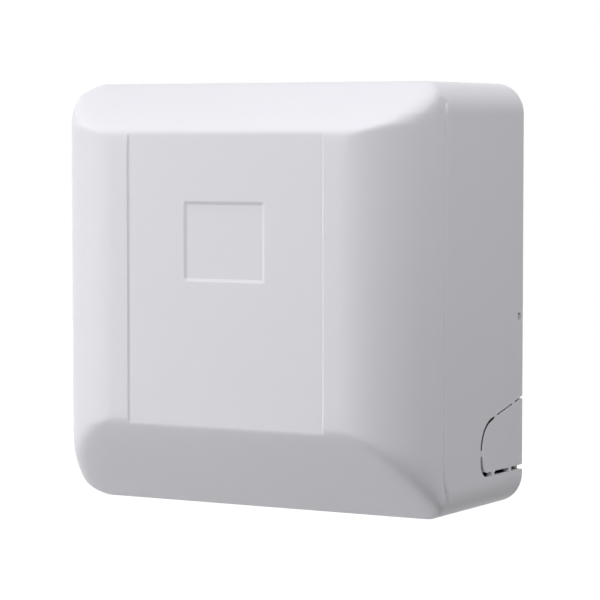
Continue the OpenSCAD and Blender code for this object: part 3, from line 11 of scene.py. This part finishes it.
import bmesh
import bpy
import numpy as np
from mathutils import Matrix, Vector


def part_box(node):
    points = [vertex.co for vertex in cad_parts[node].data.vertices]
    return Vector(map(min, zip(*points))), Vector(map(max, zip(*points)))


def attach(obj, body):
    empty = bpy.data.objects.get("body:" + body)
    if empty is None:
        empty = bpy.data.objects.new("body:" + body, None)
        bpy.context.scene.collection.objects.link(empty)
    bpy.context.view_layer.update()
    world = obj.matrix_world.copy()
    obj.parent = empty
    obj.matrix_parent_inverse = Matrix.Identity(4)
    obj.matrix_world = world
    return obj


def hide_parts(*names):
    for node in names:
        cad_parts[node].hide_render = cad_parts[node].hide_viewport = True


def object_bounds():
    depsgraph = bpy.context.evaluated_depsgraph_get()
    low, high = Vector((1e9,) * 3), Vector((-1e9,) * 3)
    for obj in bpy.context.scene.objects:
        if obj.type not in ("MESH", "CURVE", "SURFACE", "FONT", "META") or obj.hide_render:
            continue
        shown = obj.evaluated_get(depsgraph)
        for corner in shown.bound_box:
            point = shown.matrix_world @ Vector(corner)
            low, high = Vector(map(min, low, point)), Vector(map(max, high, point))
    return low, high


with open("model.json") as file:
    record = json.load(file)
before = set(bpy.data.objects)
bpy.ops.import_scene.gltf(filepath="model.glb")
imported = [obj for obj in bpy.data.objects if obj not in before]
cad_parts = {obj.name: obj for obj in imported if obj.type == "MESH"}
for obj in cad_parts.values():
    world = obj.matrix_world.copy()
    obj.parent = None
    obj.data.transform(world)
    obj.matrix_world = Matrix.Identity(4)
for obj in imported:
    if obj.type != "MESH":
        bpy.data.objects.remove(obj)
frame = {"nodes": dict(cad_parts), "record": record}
cad_low, cad_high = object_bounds()

MM = 0.001
cover_low, cover_high = (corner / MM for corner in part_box("front_cover"))

# Camera of the photograph
CAMERA_LENS = 163.05
CAMERA_YAW = math.radians(29.63)
CAMERA_PITCH = math.radians(3.47)
CAMERA_RIGHT = 581.7
CAMERA_AHEAD = 958.5
CAMERA_UP = 67.95


def add_camera():
    """Camera ahead of the cover's front, to its right, as fitted to the photo."""
    data = bpy.data.cameras.new("camera")
    data.lens = CAMERA_LENS
    camera = bpy.data.objects.new("camera", data)
    camera.location = Vector((CAMERA_RIGHT, cover_low.y - CAMERA_AHEAD, CAMERA_UP)) * MM
    camera.rotation_euler = (math.pi / 2 - CAMERA_PITCH, 0, CAMERA_YAW)
    bpy.context.collection.objects.link(camera)
    bpy.context.scene.camera = camera


# Scales of the noise in the materials, per metre
GRAIN_FINE = 1400
GRAIN_COARSE = 380
GRAIN_BROAD = 45


class Surface:
    """A Principled material whose colour, gloss and bump vary with noise."""

    def __init__(self, name, colour, rough, metallic=0.0):
        self.material = bpy.data.materials.new(name)
        self.material.use_nodes = True
        self.nodes = self.material.node_tree.nodes
        self.links = self.material.node_tree.links
        self.shader = self.nodes["Principled BSDF"]
        self.coords = self.nodes.new("ShaderNodeTexCoord").outputs["Object"]
        self.colour = colour
        self.shader.inputs["Metallic"].default_value = metallic
        self.shader.inputs["Roughness"].default_value = rough
        self.rough = rough
        self.bump = None

    def noise(self, scale, detail=3.0, stretch=(1, 1, 1)):
        mapping = self.nodes.new("ShaderNodeMapping")
        mapping.inputs["Scale"].default_value = stretch
        noise = self.nodes.new("ShaderNodeTexNoise")
        noise.inputs["Scale"].default_value = scale
        noise.inputs["Detail"].default_value = detail
        self.links.new(self.coords, mapping.inputs["Vector"])
        self.links.new(mapping.outputs["Vector"], noise.inputs["Vector"])
        return noise.outputs["Fac"]

    def span(self, fac, low, high, start=0.3, end=0.7):
        ramp = self.nodes.new("ShaderNodeMapRange")
        ramp.inputs["From Min"].default_value = start
        ramp.inputs["From Max"].default_value = end
        ramp.inputs["To Min"].default_value = low
        ramp.inputs["To Max"].default_value = high
        self.links.new(fac, ramp.inputs["Value"])
        return ramp.outputs["Result"]

    def mottle(self, scale, darker, stretch=(1, 1, 1)):
        """Colour drifts between the full tone and a slightly darker one."""
        mix = self.nodes.new("ShaderNodeMix")
        mix.data_type = "RGBA"
        mix.inputs["A"].default_value = (*[c * darker for c in self.colour], 1)
        mix.inputs["B"].default_value = (*self.colour, 1)
        self.links.new(self.span(self.noise(scale, stretch=stretch), 0, 1), mix.inputs["Factor"])
        self.links.new(mix.outputs["Result"], self.shader.inputs["Base Color"])
        return self

    def gloss(self, scale, change, stretch=(1, 1, 1)):
        """Roughness varies either side of its mean."""
        fac = self.noise(scale, stretch=stretch)
        rough = self.span(fac, self.rough - change, self.rough + change)
        self.links.new(rough, self.shader.inputs["Roughness"])
        return self

    def relief(self, scale, height, stretch=(1, 1, 1), detail=3.0):
        """Bump, with its height in millimetres."""
        bump = self.nodes.new("ShaderNodeBump")
        bump.inputs["Distance"].default_value = height * MM
        bump.inputs["Strength"].default_value = 1.0
        self.links.new(self.noise(scale, detail, stretch), bump.inputs["Height"])
        if self.bump:
            self.links.new(self.bump.outputs["Normal"], bump.inputs["Normal"])
        self.links.new(bump.outputs["Normal"], self.shader.inputs["Normal"])
        self.bump = bump
        return self

    def sets(self, **values):
        """Plain values of further sockets, with underscores for spaces."""
        for key, value in values.items():
            self.shader.inputs[key.replace("_", " ")].default_value = value
        return self


def moulded(name, colour, rough=0.42, grain=0.012):
    """Moulded plastic with a fine grain."""
    return (
        Surface(name, colour, rough)
        .mottle(GRAIN_BROAD, 0.97)
        .gloss(GRAIN_COARSE, 0.05)
        .relief(GRAIN_FINE, grain)
        .material
    )


def metal(name, colour, rough, stretch=(1, 1, 1), grain=0.004):
    """Metal with a drawn or plated surface."""
    return (
        Surface(name, colour, rough, 1.0)
        .mottle(GRAIN_BROAD, 0.86, stretch)
        .gloss(GRAIN_COARSE, 0.1, stretch)
        .relief(GRAIN_FINE, grain, stretch)
        .material
    )


def soft(name, colour, rough=0.75, grain=0.02):
    """Rubber or a soft sleeve."""
    return (
        Surface(name, colour, rough)
        .mottle(GRAIN_BROAD, 0.8)
        .gloss(GRAIN_COARSE, 0.08)
        .relief(GRAIN_FINE / 2, grain)
        .material
    )


def tank_material():
    return (
        Surface("tank_milky", (0.66, 0.74, 0.79), 0.35)
        .mottle(GRAIN_BROAD, 0.95)
        .gloss(GRAIN_COARSE, 0.05)
        .relief(GRAIN_COARSE, 0.01)
        .sets(Subsurface_Weight=0.2, Subsurface_Scale=2 * MM)
        .material
    )


def glass_material(name, colour):
    return (
        Surface(name, colour, 0.08)
        .mottle(GRAIN_BROAD, 0.9)
        .gloss(GRAIN_COARSE, 0.03)
        .relief(GRAIN_COARSE, 0.004)
        .sets(Transmission_Weight=0.8, IOR=1.5)
        .material
    )


def cover_material():
    """Satin white plastic, slightly cool."""
    return (
        Surface("cover_satin_white", (0.80, 0.797, 0.845), 0.5)
        .mottle(GRAIN_BROAD / 3, 0.985)
        .gloss(GRAIN_COARSE, 0.04)
        .relief(GRAIN_FINE, 0.006)
        .material
    )


def slot_materials():
    return {
        "cover_plastic": cover_material(),
        "housing_plastic": moulded("housing_ivory", (0.66, 0.64, 0.58)),
        "tank_plastic": tank_material(),
        "pump_plastic": moulded("pump_white", (0.72, 0.72, 0.71), 0.42, 0.002),
        "blue_plastic": moulded("moulded_blue", (0.04, 0.12, 0.42), 0.35, 0.002),
        "grey_plastic": moulded("pipe_grey", (0.2, 0.215, 0.235), 0.45),
        "black_rubber": soft("black_rubber", (0.022, 0.022, 0.024)),
        "plated_steel": metal("zinc_plate", (0.56, 0.57, 0.59), 0.32),
        "bearing_bronze": metal("sintered_bronze", (0.5, 0.31, 0.13), 0.5, grain=0.02),
        "dark_iron": metal("dark_iron", (0.1, 0.1, 0.105), 0.55, grain=0.02),
        "copper_wire": metal("enamelled_copper", (0.62, 0.26, 0.1), 0.3, (1, 1, 12)),
        "clear_glass": glass_material("clear_glass", (0.85, 0.9, 0.9)),
        "board_green": moulded("solder_mask", (0.012, 0.1, 0.035), 0.3),
        "black_plastic": moulded("moulded_black", (0.02, 0.02, 0.022), 0.35),
        "lamp_green": glass_material("lamp_green", (0.1, 0.6, 0.2)),
        "wire_jacket": soft("wire_jacket", (0.03, 0.03, 0.032), 0.5, 0.01),
    }


# Edges: angles that stay sharp or get a radius, and sizes in millimetres
SMOOTH_ANGLE = math.radians(32)
EDGE_ANGLE = math.radians(40)
EDGE_RADIUS = 0.25
EDGE_SEGMENTS = 2
WELD_GAP = 0.01
ROUNDING_LEVELS = 2


def paint(obj, material):
    obj.data.materials.clear()
    obj.data.materials.append(material)


def weld_seams(obj):
    """Joins the faces of a CAD node, which come apart at its edges."""
    weld = obj.modifiers.new("weld", "WELD")
    weld.merge_threshold = WELD_GAP * MM


def weigh_normals(obj):
    normals = obj.modifiers.new("face_weights", "WEIGHTED_NORMAL")
    normals.keep_sharp = True


def dress_node(obj, material):
    """Gives a CAD node its material and a small radius on hard edges."""
    paint(obj, material)
    weld_seams(obj)
    bevel = obj.modifiers.new("edge_radius", "BEVEL")
    bevel.width = EDGE_RADIUS * MM
    bevel.segments = EDGE_SEGMENTS
    bevel.limit_method = "ANGLE"
    bevel.angle_limit = EDGE_ANGLE
    bevel.use_clamp_overlap = True
    weigh_normals(obj)


def dress_sleeve(obj, material):
    """Gives a sleeve its material and rounds its flat sides."""
    paint(obj, material)
    weld_seams(obj)
    rounding = obj.modifiers.new("rounding", "SUBSURF")
    rounding.levels = rounding.render_levels = ROUNDING_LEVELS


def mesh_object(name, points, faces):
    """Object from points in millimetres."""
    mesh = bpy.data.meshes.new(name)
    mesh.from_pydata([tuple(c * MM for c in p) for p in points], [], faces)
    mesh.validate()
    mesh.update()
    obj = bpy.data.objects.new(name, mesh)
    bpy.context.collection.objects.link(obj)
    return obj


def smooth(obj):
    """Smooth shading that keeps sharp creases."""
    obj.data.polygons.foreach_set("use_smooth", [True] * len(obj.data.polygons))
    obj.data.set_sharp_from_angle(angle=SMOOTH_ANGLE)


def apply_boolean(obj, tool, operation):
    """Joins or cuts with another solid, which is used up."""
    modifier = obj.modifiers.new("cut", "BOOLEAN")
    modifier.operation = operation
    modifier.object = tool
    modifier.solver = "MANIFOLD"
    bpy.context.view_layer.update()
    shape = obj.evaluated_get(bpy.context.evaluated_depsgraph_get())
    result = bpy.data.meshes.new_from_object(shape)
    obj.modifiers.clear()
    obj.data = result
    bpy.data.objects.remove(tool)


# Box of the cover, in millimetres
HALF_W = cover_high.x
HALF_H = cover_high.z
FRONT = -cover_low.y
REAR = -cover_high.y

# Rounded outline, wall, and the sides that curve back to a step at the crease
CORNER_R = 13
COVER_WALL = 2.4
FLAT_HALF = 54
CREASE_STEP = 1.4
CREASE_ROUND = 1.3
SIDE_DEPTH = 26

# Slopes at the ends: height, depth and bend
TOP_SLOPE = (20.7, 30, 1.2)
BOTTOM_SLOPE = (38.1, 32, 1.45)
MITRE_POWER = 3.5
SLOPE_START_ROUND = 1.8
SLOPE_START_FADE = 4
END_EDGE_ROUND = 1.8
CREASE_FADE = 5

# Sunk strip and square
STRIP_HALF = 47
STRIP_DEEP = 0.5
STRIP_EDGE = 0.8
PLAQUE_HALF = (19.5, 16.75)
PLAQUE_UP = 23.9
PLAQUE_DEEP = 0.5
PLAQUE_EDGE = 1.4

# Grid of the cover's mesh
HELD = 0.15
FLAT_COLUMNS = [0, 9, 28, 38, 50.5]
FLAT_ROWS = [-36, -20, -6, PLAQUE_UP, 50, 60]
CURVE_COLUMNS = 40
LAST_COLUMN_GAP = 0.25
CREASE_SHARES = (1, 0.6, 0.3, 0.1, 0)
CORNER_ROWS = 16
SLOPE_STEP = 1.2
SLOPE_START_SHARES = (-3, -2, -1, -0.5, 0, 0.5, 1, 1.5, 2, 3, 4)


def side_depth(x, inset):
    """How far the curve of a side lies behind the front, less the inset."""
    reach = HALF_W - CREASE_STEP - FLAT_HALF - inset
    share = np.clip((np.abs(x) - FLAT_HALF) / reach, 0, 1)
    return (SIDE_DEPTH - inset) * (1 - np.sqrt(1 - share**2))


def end_depth(z, inset):
    """How far the slope at the top or bottom lies behind the front, less the inset."""
    depth = np.zeros_like(z)
    for (height, deep, bend), past in ((TOP_SLOPE, z), (BOTTOM_SLOPE, -z)):
        start = HALF_H - height
        run = past - start
        share = (run + np.sqrt(run**2 + SLOPE_START_ROUND**2)) / 2 / height
        fall = deep * share**bend
        lean = deep * bend * share ** (bend - 1) / height
        fall = fall + inset * (np.sqrt(1 + lean**2) - 1)
        near = run > -SLOPE_START_FADE * SLOPE_START_ROUND
        fade = np.clip(SLOPE_START_FADE + run / SLOPE_START_ROUND, 0, 1)
        depth = np.where(near, np.maximum(depth, fall * fade), depth)
    return depth


def outline_half(z, inset):
    """Half the width of the front's outline at a height."""
    radius = CORNER_R - inset
    over = np.clip(np.abs(z) - (HALF_H - CORNER_R), 0, radius)
    return HALF_W - CORNER_R + np.sqrt(radius**2 - over**2)


def to_outline(x, z):
    """Distance from a point of the front to its outline."""
    corner_x = np.abs(x) - (HALF_W - CORNER_R)
    corner_z = np.abs(z) - (HALF_H - CORNER_R)
    past = np.hypot(np.maximum(corner_x, 0), np.maximum(corner_z, 0))
    return CORNER_R - np.where(past > 0, past, np.maximum(corner_x, corner_z))


def edge_round(gap, radius):
    """Depth that a rounded edge adds at a distance from the outline."""
    inside = np.clip(radius - gap, 0, radius)
    return radius - np.sqrt(radius**2 - inside**2)


def step(value, low, high):
    return np.clip((value - low) / (high - low), 0, 1)


def front_depth(x, z, inset):
    """Depth of the cover's front behind its foremost plane."""
    ends = end_depth(z, inset)
    sides = side_depth(x, inset)
    depth = (ends**MITRE_POWER + sides**MITRE_POWER) ** (1 / MITRE_POWER)
    if inset:
        return depth + inset
    half_edge = STRIP_EDGE / 2
    in_strip = 1 - step(np.abs(x), STRIP_HALF - half_edge, STRIP_HALF + half_edge)
    depth = np.maximum(depth, STRIP_DEEP * in_strip)
    in_plaque = (1 - step(np.abs(x), PLAQUE_HALF[0] - PLAQUE_EDGE, PLAQUE_HALF[0])) * (
        1 - step(np.abs(z - PLAQUE_UP), PLAQUE_HALF[1] - PLAQUE_EDGE, PLAQUE_HALF[1])
    )
    depth = depth + PLAQUE_DEEP * in_plaque
    gap = to_outline(x, z)
    past_crease = step(ends, SIDE_DEPTH - CREASE_FADE, SIDE_DEPTH)
    radius = CREASE_ROUND + (END_EDGE_ROUND - CREASE_ROUND) * past_crease
    return depth + edge_round(gap, radius)


def held(place):
    """A line of the grid with one close on each side, which keep a bend narrow."""
    return [place - HELD, place, place + HELD]


def columns():
    """Places across the front, from the left edge to the right one."""
    half = [*FLAT_COLUMNS, FLAT_HALF]
    half += held(PLAQUE_HALF[0] - PLAQUE_EDGE) + held(PLAQUE_HALF[0])
    half += held(STRIP_HALF - STRIP_EDGE / 2) + held(STRIP_HALF + STRIP_EDGE / 2)
    half.sort()
    reach = HALF_W - CREASE_STEP - FLAT_HALF
    counts = [*range(1, CURVE_COLUMNS), CURVE_COLUMNS - LAST_COLUMN_GAP, CURVE_COLUMNS]
    turns = [math.pi / 2 * count / CURVE_COLUMNS for count in counts]
    half += [FLAT_HALF + reach * math.sin(turn) for turn in turns]
    half += [HALF_W - CREASE_ROUND * share for share in CREASE_SHARES]
    return np.array([-v for v in half[:0:-1]] + half)


def rows():
    """Places up the front, from the bottom edge to the top one."""
    turns = [math.pi / 2 * i / CORNER_ROWS for i in range(CORNER_ROWS + 1)]
    corner = [HALF_H - CORNER_R + CORNER_R * math.sin(turn) for turn in turns]
    low_start = HALF_H - BOTTOM_SLOPE[0]
    high_start = HALF_H - TOP_SLOPE[0]
    soft_steps = [SLOPE_START_ROUND * share for share in SLOPE_START_SHARES]
    low = [low_start + s for s in soft_steps]
    low += list(np.arange(low[-1] + SLOPE_STEP, corner[0] - SLOPE_STEP / 2, SLOPE_STEP))
    high = [high_start + s for s in soft_steps]
    bottom_edge, top_edge = PLAQUE_UP - PLAQUE_HALF[1], PLAQUE_UP + PLAQUE_HALF[1]
    middle = list(FLAT_ROWS)
    for edge in (bottom_edge, bottom_edge + PLAQUE_EDGE, top_edge - PLAQUE_EDGE, top_edge):
        middle += held(edge)
    middle.sort()
    below = [-v for v in reversed(corner)] + [-v for v in reversed(low)]
    return np.array(below + middle + high + corner)


def cover_sheet(inset):
    """Points of one face of the shell, with its walls run back to the rear edge."""
    across, up = columns(), rows()
    shrink = (HALF_H - FLAT_HALF - inset) / (HALF_H - FLAT_HALF)
    shrunk = np.sign(up) * (FLAT_HALF + (np.abs(up) - FLAT_HALF) * shrink)
    up = np.where(np.abs(up) > FLAT_HALF, shrunk, up)
    z = np.repeat(up[:, None], len(across), axis=1)
    wide = outline_half(z, inset)
    past = np.clip(np.abs(across)[None, :] - FLAT_HALF, 0, None) / (HALF_W - FLAT_HALF)
    x = np.sign(across) * (np.minimum(np.abs(across), FLAT_HALF) + past * (wide - FLAT_HALF))
    y = -(FRONT - front_depth(x, z, inset))
    return np.stack([x, y, z], axis=-1)


def rim_order(row_count, column_count):
    """Indices round the edge of a grid."""
    grid = np.arange(row_count * column_count).reshape(row_count, column_count)
    return [*grid[0, :], *grid[1:, -1], *grid[-1, -2::-1], *grid[-2:0:-1, 0]]


def cover_shell():
    """Closed shell: outer face, inner face and the rear edge between them."""
    points, faces, rims = [], [], []
    for inset in (0, COVER_WALL):
        sheet = cover_sheet(inset)
        count = sheet.shape[:2]
        base = len(points)
        points += sheet.reshape(-1, 3).tolist()
        flip = 1 if inset else -1
        for i in range(count[0] - 1):
            for j in range(count[1] - 1):
                a = base + i * count[1] + j
                faces.append([a, a + count[1], a + count[1] + 1, a + 1][::-flip])
        rim = [base + int(k) for k in rim_order(*count)]
        rear = []
        for k in rim:
            rear.append(len(points))
            points.append([points[k][0], -REAR, points[k][2]])
        for k in range(len(rim)):
            nxt = (k + 1) % len(rim)
            faces.append([rim[k], rear[k], rear[nxt], rim[nxt]][::flip])
        rims.append(rear)
    outer, inner = rims
    for k in range(len(outer)):
        nxt = (k + 1) % len(outer)
        faces.append([outer[k], inner[k], inner[nxt], outer[nxt]])
    return points, faces


def box_solid(corners):
    """Points and faces of a box between two corners."""
    (x0, y0, z0), (x1, y1, z1) = corners
    points = [(x, y, z) for x in (x0, x1) for y in (y0, y1) for z in (z0, z1)]
    faces = [[0, 1, 3, 2], [4, 6, 7, 5], [0, 4, 5, 1], [2, 3, 7, 6], [0, 2, 6, 4], [1, 5, 7, 3]]
    return points, faces


def join_solids(solids):
    points, faces = [], []
    for part_points, part_faces in solids:
        base = len(points)
        points += part_points
        faces += [[base + k for k in face] for face in part_faces]
    return points, faces


# Knock-outs, as in the CAD: a slit round a panel, left standing on short webs
KNOCK_DEEP = 41.7
KNOCK_LOW = 14.8
KNOCK_HIGH = 31.8
KNOCK_FALL = 6.5
KNOCK_UPPER_R = 13.5
KNOCK_LOWER_R = 6.5
KNOCK_SLIT_LOWER = 2.0
KNOCK_SLIT_UPPER = 1.1
KNOCK_WEB = 2.6
LOWER_WEBS = (0.28, 0.68)
UPPER_WEBS = (0.2, 0.63)
FRONT_WEB = 0.29
KNOCK_ARC_STEPS = 10
OVERRUN = 1


def arc_points(centre, radius, start, end):
    for i in range(KNOCK_ARC_STEPS + 1):
        turn = math.radians(start + (end - start) * i / KNOCK_ARC_STEPS)
        yield centre[0] + radius * math.cos(turn), centre[1] + radius * math.sin(turn)


def knock_edge(inset):
    """One edge of the slit, from the rear along the bottom, up the front and back."""
    low = -HALF_H + KNOCK_LOW
    fall = math.atan(KNOCK_FALL / (KNOCK_DEEP - KNOCK_UPPER_R))
    upper = (
        KNOCK_DEEP - KNOCK_UPPER_R,
        low + KNOCK_HIGH - KNOCK_FALL - KNOCK_UPPER_R / math.cos(fall),
    )
    lower = (KNOCK_DEEP - KNOCK_LOWER_R, low + KNOCK_LOWER_R)
    fall_degrees = math.degrees(fall)
    rear_top = low + KNOCK_HIGH + OVERRUN * math.tan(fall) - inset / math.cos(fall)
    return (
        [(-OVERRUN, low + inset)]
        + list(arc_points(lower, KNOCK_LOWER_R - inset, 270, 360))
        + list(arc_points(upper, KNOCK_UPPER_R - inset, 0, 90 - fall_degrees))
        + [(-OVERRUN, rear_top)]
    )


def split_run(run, places):
    """Adds a pair of points to a straight run at each share of its length."""
    (first, last), pairs = run, []
    for share in places:
        ends = zip(first, last)
        pairs.append([tuple(a + (b - a) * share for a, b in zip(*end)) for end in ends])
    return [first, *pairs, last]


def knock_slits():
    """Solids that cut the slits, one between each two webs."""
    turn_end = 1 + KNOCK_ARC_STEPS
    inner_low, inner_high = knock_edge(KNOCK_SLIT_LOWER), knock_edge(KNOCK_SLIT_UPPER)
    inner = inner_low[: turn_end + 1] + inner_high[turn_end + 1 :]
    pairs = list(zip(knock_edge(0), inner))
    lower_run, front_run = pairs[:2], pairs[turn_end : turn_end + 2]
    upper_run = pairs[-2:]
    out_span = lower_run[1][0][0] - lower_run[0][0][0]
    lower_cuts = [
        (KNOCK_DEEP * s + e + OVERRUN) / out_span for s in LOWER_WEBS for e in (0, KNOCK_WEB)
    ]
    up_start, up_span = front_run[0][0][1], front_run[1][0][1] - front_run[0][0][1]
    web_low = -HALF_H + KNOCK_LOW + KNOCK_HIGH * FRONT_WEB
    front_cuts = [(web_low + e - up_start) / up_span for e in (0, KNOCK_WEB)]
    upper_from, upper_to = upper_run[0][0][0], upper_run[1][0][0]
    upper_cuts = [
        (upper_from - KNOCK_DEEP * s - e) / (upper_from - upper_to)
        for s in reversed(UPPER_WEBS)
        for e in (KNOCK_WEB, 0)
    ]
    lower = split_run(lower_run, lower_cuts)
    front = split_run(front_run, front_cuts)
    upper = split_run(upper_run, upper_cuts)
    return [
        lower[:2],
        lower[2:4],
        lower[4:] + pairs[2:turn_end] + front[:2],
        front[2:] + pairs[turn_end + 2 : -2] + upper[:2],
        upper[2:4],
        upper[4:],
    ]


def band_solid(band, side):
    """Closed solid through the wall of one side, along a run of the slit."""
    low, high = HALF_W - COVER_WALL - OVERRUN, HALF_W + OVERRUN
    points = []
    for outer, inner in band:
        for x in (low, high):
            points.append((side * x, -outer[0], outer[1]))
            points.append((side * x, -inner[0], inner[1]))
    faces = [[0, 1, 3, 2]]
    for i in range(len(band) - 1):
        a, b = 4 * i, 4 * i + 4
        faces += [[a, b, b + 1, a + 1], [a + 1, b + 1, b + 3, a + 3]]
        faces += [[a + 3, b + 3, b + 2, a + 2], [a + 2, b + 2, b, a]]
    end = 4 * (len(band) - 1)
    faces.append([end, end + 2, end + 3, end + 1])
    return points, faces


# Catch windows, as in the CAD
CATCH_UP = -9.4
CATCH_OUT = 4.4
WINDOW_DEEP = 2.9
WINDOW_HIGH = 3.2


def window_solid(side):
    """Solid that cuts the window for a catch through one side."""
    low, high = HALF_W - COVER_WALL - OVERRUN, HALF_W + OVERRUN
    xs = sorted((side * low, side * high))
    return box_solid(
        (
            (xs[0], -CATCH_OUT - WINDOW_DEEP / 2, CATCH_UP - WINDOW_HIGH / 2),
            (xs[1], -CATCH_OUT + WINDOW_DEEP / 2, CATCH_UP + WINDOW_HIGH / 2),
        )
    )


# Seat ribs, as in the CAD
SEAT_RIB_THICK = 1.6
SEAT_RIB_PROUD = 2.6
SEAT_RIB_LONG = 46
SEAT_RIB_OUT = 9.3
SEAT_RIB_SHARE = 0.3


def seat_ribs():
    """Ribs inside the cover that seat on the lip of the back plate."""
    half = SEAT_RIB_THICK / 2
    near, far = -SEAT_RIB_OUT, -SEAT_RIB_OUT - SEAT_RIB_LONG
    solids = []
    for side in (-1, 1):
        x = side * 2 * HALF_W * SEAT_RIB_SHARE
        for end in (-1, 1):
            zs = sorted(
                (end * (HALF_H - COVER_WALL - SEAT_RIB_PROUD), end * (HALF_H - COVER_WALL / 2))
            )
            solids.append(box_solid(((x - half, far, zs[0]), (x + half, near, zs[1]))))
        z = 2 * HALF_H * SEAT_RIB_SHARE
        xs = sorted(
            (side * (HALF_W - COVER_WALL - SEAT_RIB_PROUD), side * (HALF_W - COVER_WALL / 2))
        )
        solids.append(box_solid(((xs[0], far, z - half), (xs[1], near, z + half))))
    return join_solids(solids)


def make_solid_normals(obj):
    """Turns every face of a closed solid outwards."""
    work = bmesh.new()
    work.from_mesh(obj.data)
    bmesh.ops.recalc_face_normals(work, faces=work.faces)
    work.to_mesh(obj.data)
    work.free()


def add_cover(material):
    cover = mesh_object("cover_shell", *cover_shell())
    make_solid_normals(cover)
    ribs = mesh_object("cover_ribs", *seat_ribs())
    make_solid_normals(ribs)
    apply_boolean(cover, ribs, "UNION")
    cuts = []
    for side in (-1, 1):
        cuts += [band_solid(band, side) for band in knock_slits()]
        cuts.append(window_solid(side))
    tool = mesh_object("cover_cuts", *join_solids(cuts))
    make_solid_normals(tool)
    apply_boolean(cover, tool, "DIFFERENCE")
    smooth(cover)
    paint(cover, material)
    weigh_normals(cover)
    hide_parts("front_cover")
    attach(cover, "cover")


# Floor and backdrop, in millimetres
WHITE = (1, 1, 1, 1)
WORLD_LIGHT = 0.0
FLOOR_DROP = 260
FLOOR_HALF = 4000
FLOOR_COLOUR = (0.45, 0.45, 0.45, 1)
FLOOR_ROUGH = 0.9
FLOOR_GLOW = 0.9
FLOOR_FADE = (500, 1600)


def show_to_camera(nodes, links):
    """Factor that is 1 for rays that show the background itself."""
    path = nodes.new("ShaderNodeLightPath")
    first = nodes.new("ShaderNodeMath")
    first.operation = "MAXIMUM"
    second = nodes.new("ShaderNodeMath")
    second.operation = "MAXIMUM"
    links.new(path.outputs["Is Camera Ray"], first.inputs[0])
    links.new(path.outputs["Is Glossy Ray"], first.inputs[1])
    links.new(first.outputs[0], second.inputs[0])
    links.new(path.outputs["Is Transmission Ray"], second.inputs[1])
    return second.outputs[0]


def add_world():
    """White backdrop that gives the object no light beyond WORLD_LIGHT."""
    world = bpy.data.worlds.new("studio")
    bpy.context.scene.world = world
    world.use_nodes = True
    nodes, links = world.node_tree.nodes, world.node_tree.links
    span = nodes.new("ShaderNodeMapRange")
    span.inputs["To Min"].default_value = WORLD_LIGHT
    links.new(show_to_camera(nodes, links), span.inputs["Value"])
    nodes["Background"].inputs["Color"].default_value = WHITE
    links.new(span.outputs["Result"], nodes["Background"].inputs["Strength"])


def add_floor():
    """Pale floor below the object. Where it is seen it adds its own white, more so far out."""
    half = FLOOR_HALF
    z = cover_low.z - FLOOR_DROP
    corners = [(-half, -half, z), (half, -half, z), (half, half, z), (-half, half, z)]
    floor = mesh_object("floor", corners, [[0, 1, 2, 3]])
    material = bpy.data.materials.new("floor_white")
    material.use_nodes = True
    nodes, links = material.node_tree.nodes, material.node_tree.links
    shader = nodes["Principled BSDF"]
    shader.inputs["Base Color"].default_value = FLOOR_COLOUR
    shader.inputs["Roughness"].default_value = FLOOR_ROUGH
    shader.inputs["Emission Color"].default_value = WHITE
    place = nodes.new("ShaderNodeNewGeometry")
    distance = nodes.new("ShaderNodeVectorMath")
    distance.operation = "LENGTH"
    links.new(place.outputs["Position"], distance.inputs[0])
    span = nodes.new("ShaderNodeMapRange")
    span.inputs["From Min"].default_value = FLOOR_FADE[0] * MM
    span.inputs["From Max"].default_value = FLOOR_FADE[1] * MM
    span.inputs["To Min"].default_value = FLOOR_GLOW
    links.new(distance.outputs["Value"], span.inputs["Value"])
    shown = nodes.new("ShaderNodeMath")
    shown.operation = "MULTIPLY"
    links.new(show_to_camera(nodes, links), shown.inputs[0])
    links.new(span.outputs["Result"], shown.inputs[1])
    links.new(shown.outputs[0], shader.inputs["Emission Strength"])
    floor.data.materials.append(material)


# Lamps: place in millimetres, size in metres and power in watts
LAMPS = {
    "lamp_top": ((-300, -400, 1800), 0.9, 9.35),
    "lamp_upper_rear": ((-1300, -300, 1500), 0.9, 2.1),
    "lamp_upper_left": ((-1500, -700, 1200), 0.9, 8.1),
    "lamp_left": ((-1500, -1100, 300), 0.9, 2.2),
    "lamp_low_left": ((-1600, -900, -100), 0.9, 7.6),
    "lamp_low_front": ((-1100, -1600, 0), 0.9, 10.5),
    "lamp_right": ((840, -420, 980), 0.63, 9.7),
}


def add_lamps():
    """Soft lamps that face the object's middle."""
    aim = (cad_low + cad_high) / 2
    for name, (place, size, power) in LAMPS.items():
        data = bpy.data.lights.new(name, "AREA")
        data.shape = "DISK"
        data.size = size
        data.energy = power
        lamp = bpy.data.objects.new(name, data)
        lamp.location = Vector(place) * MM
        lamp.rotation_euler = (aim - lamp.location).to_track_quat("-Z", "Y").to_euler()
        bpy.context.collection.objects.link(lamp)


add_camera()
add_world()
add_floor()
add_lamps()

materials = slot_materials()
add_cover(materials["cover_plastic"])
for part in frame["record"]["subparts"]:
    node, material = part["node"], materials[part["material_slot"]]
    if node == "lead_wires":
        dress_sleeve(frame["nodes"][node], material)
    elif node != "front_cover":
        dress_node(frame["nodes"][node], material)

bpy.context.scene.view_settings.view_transform = "Standard"
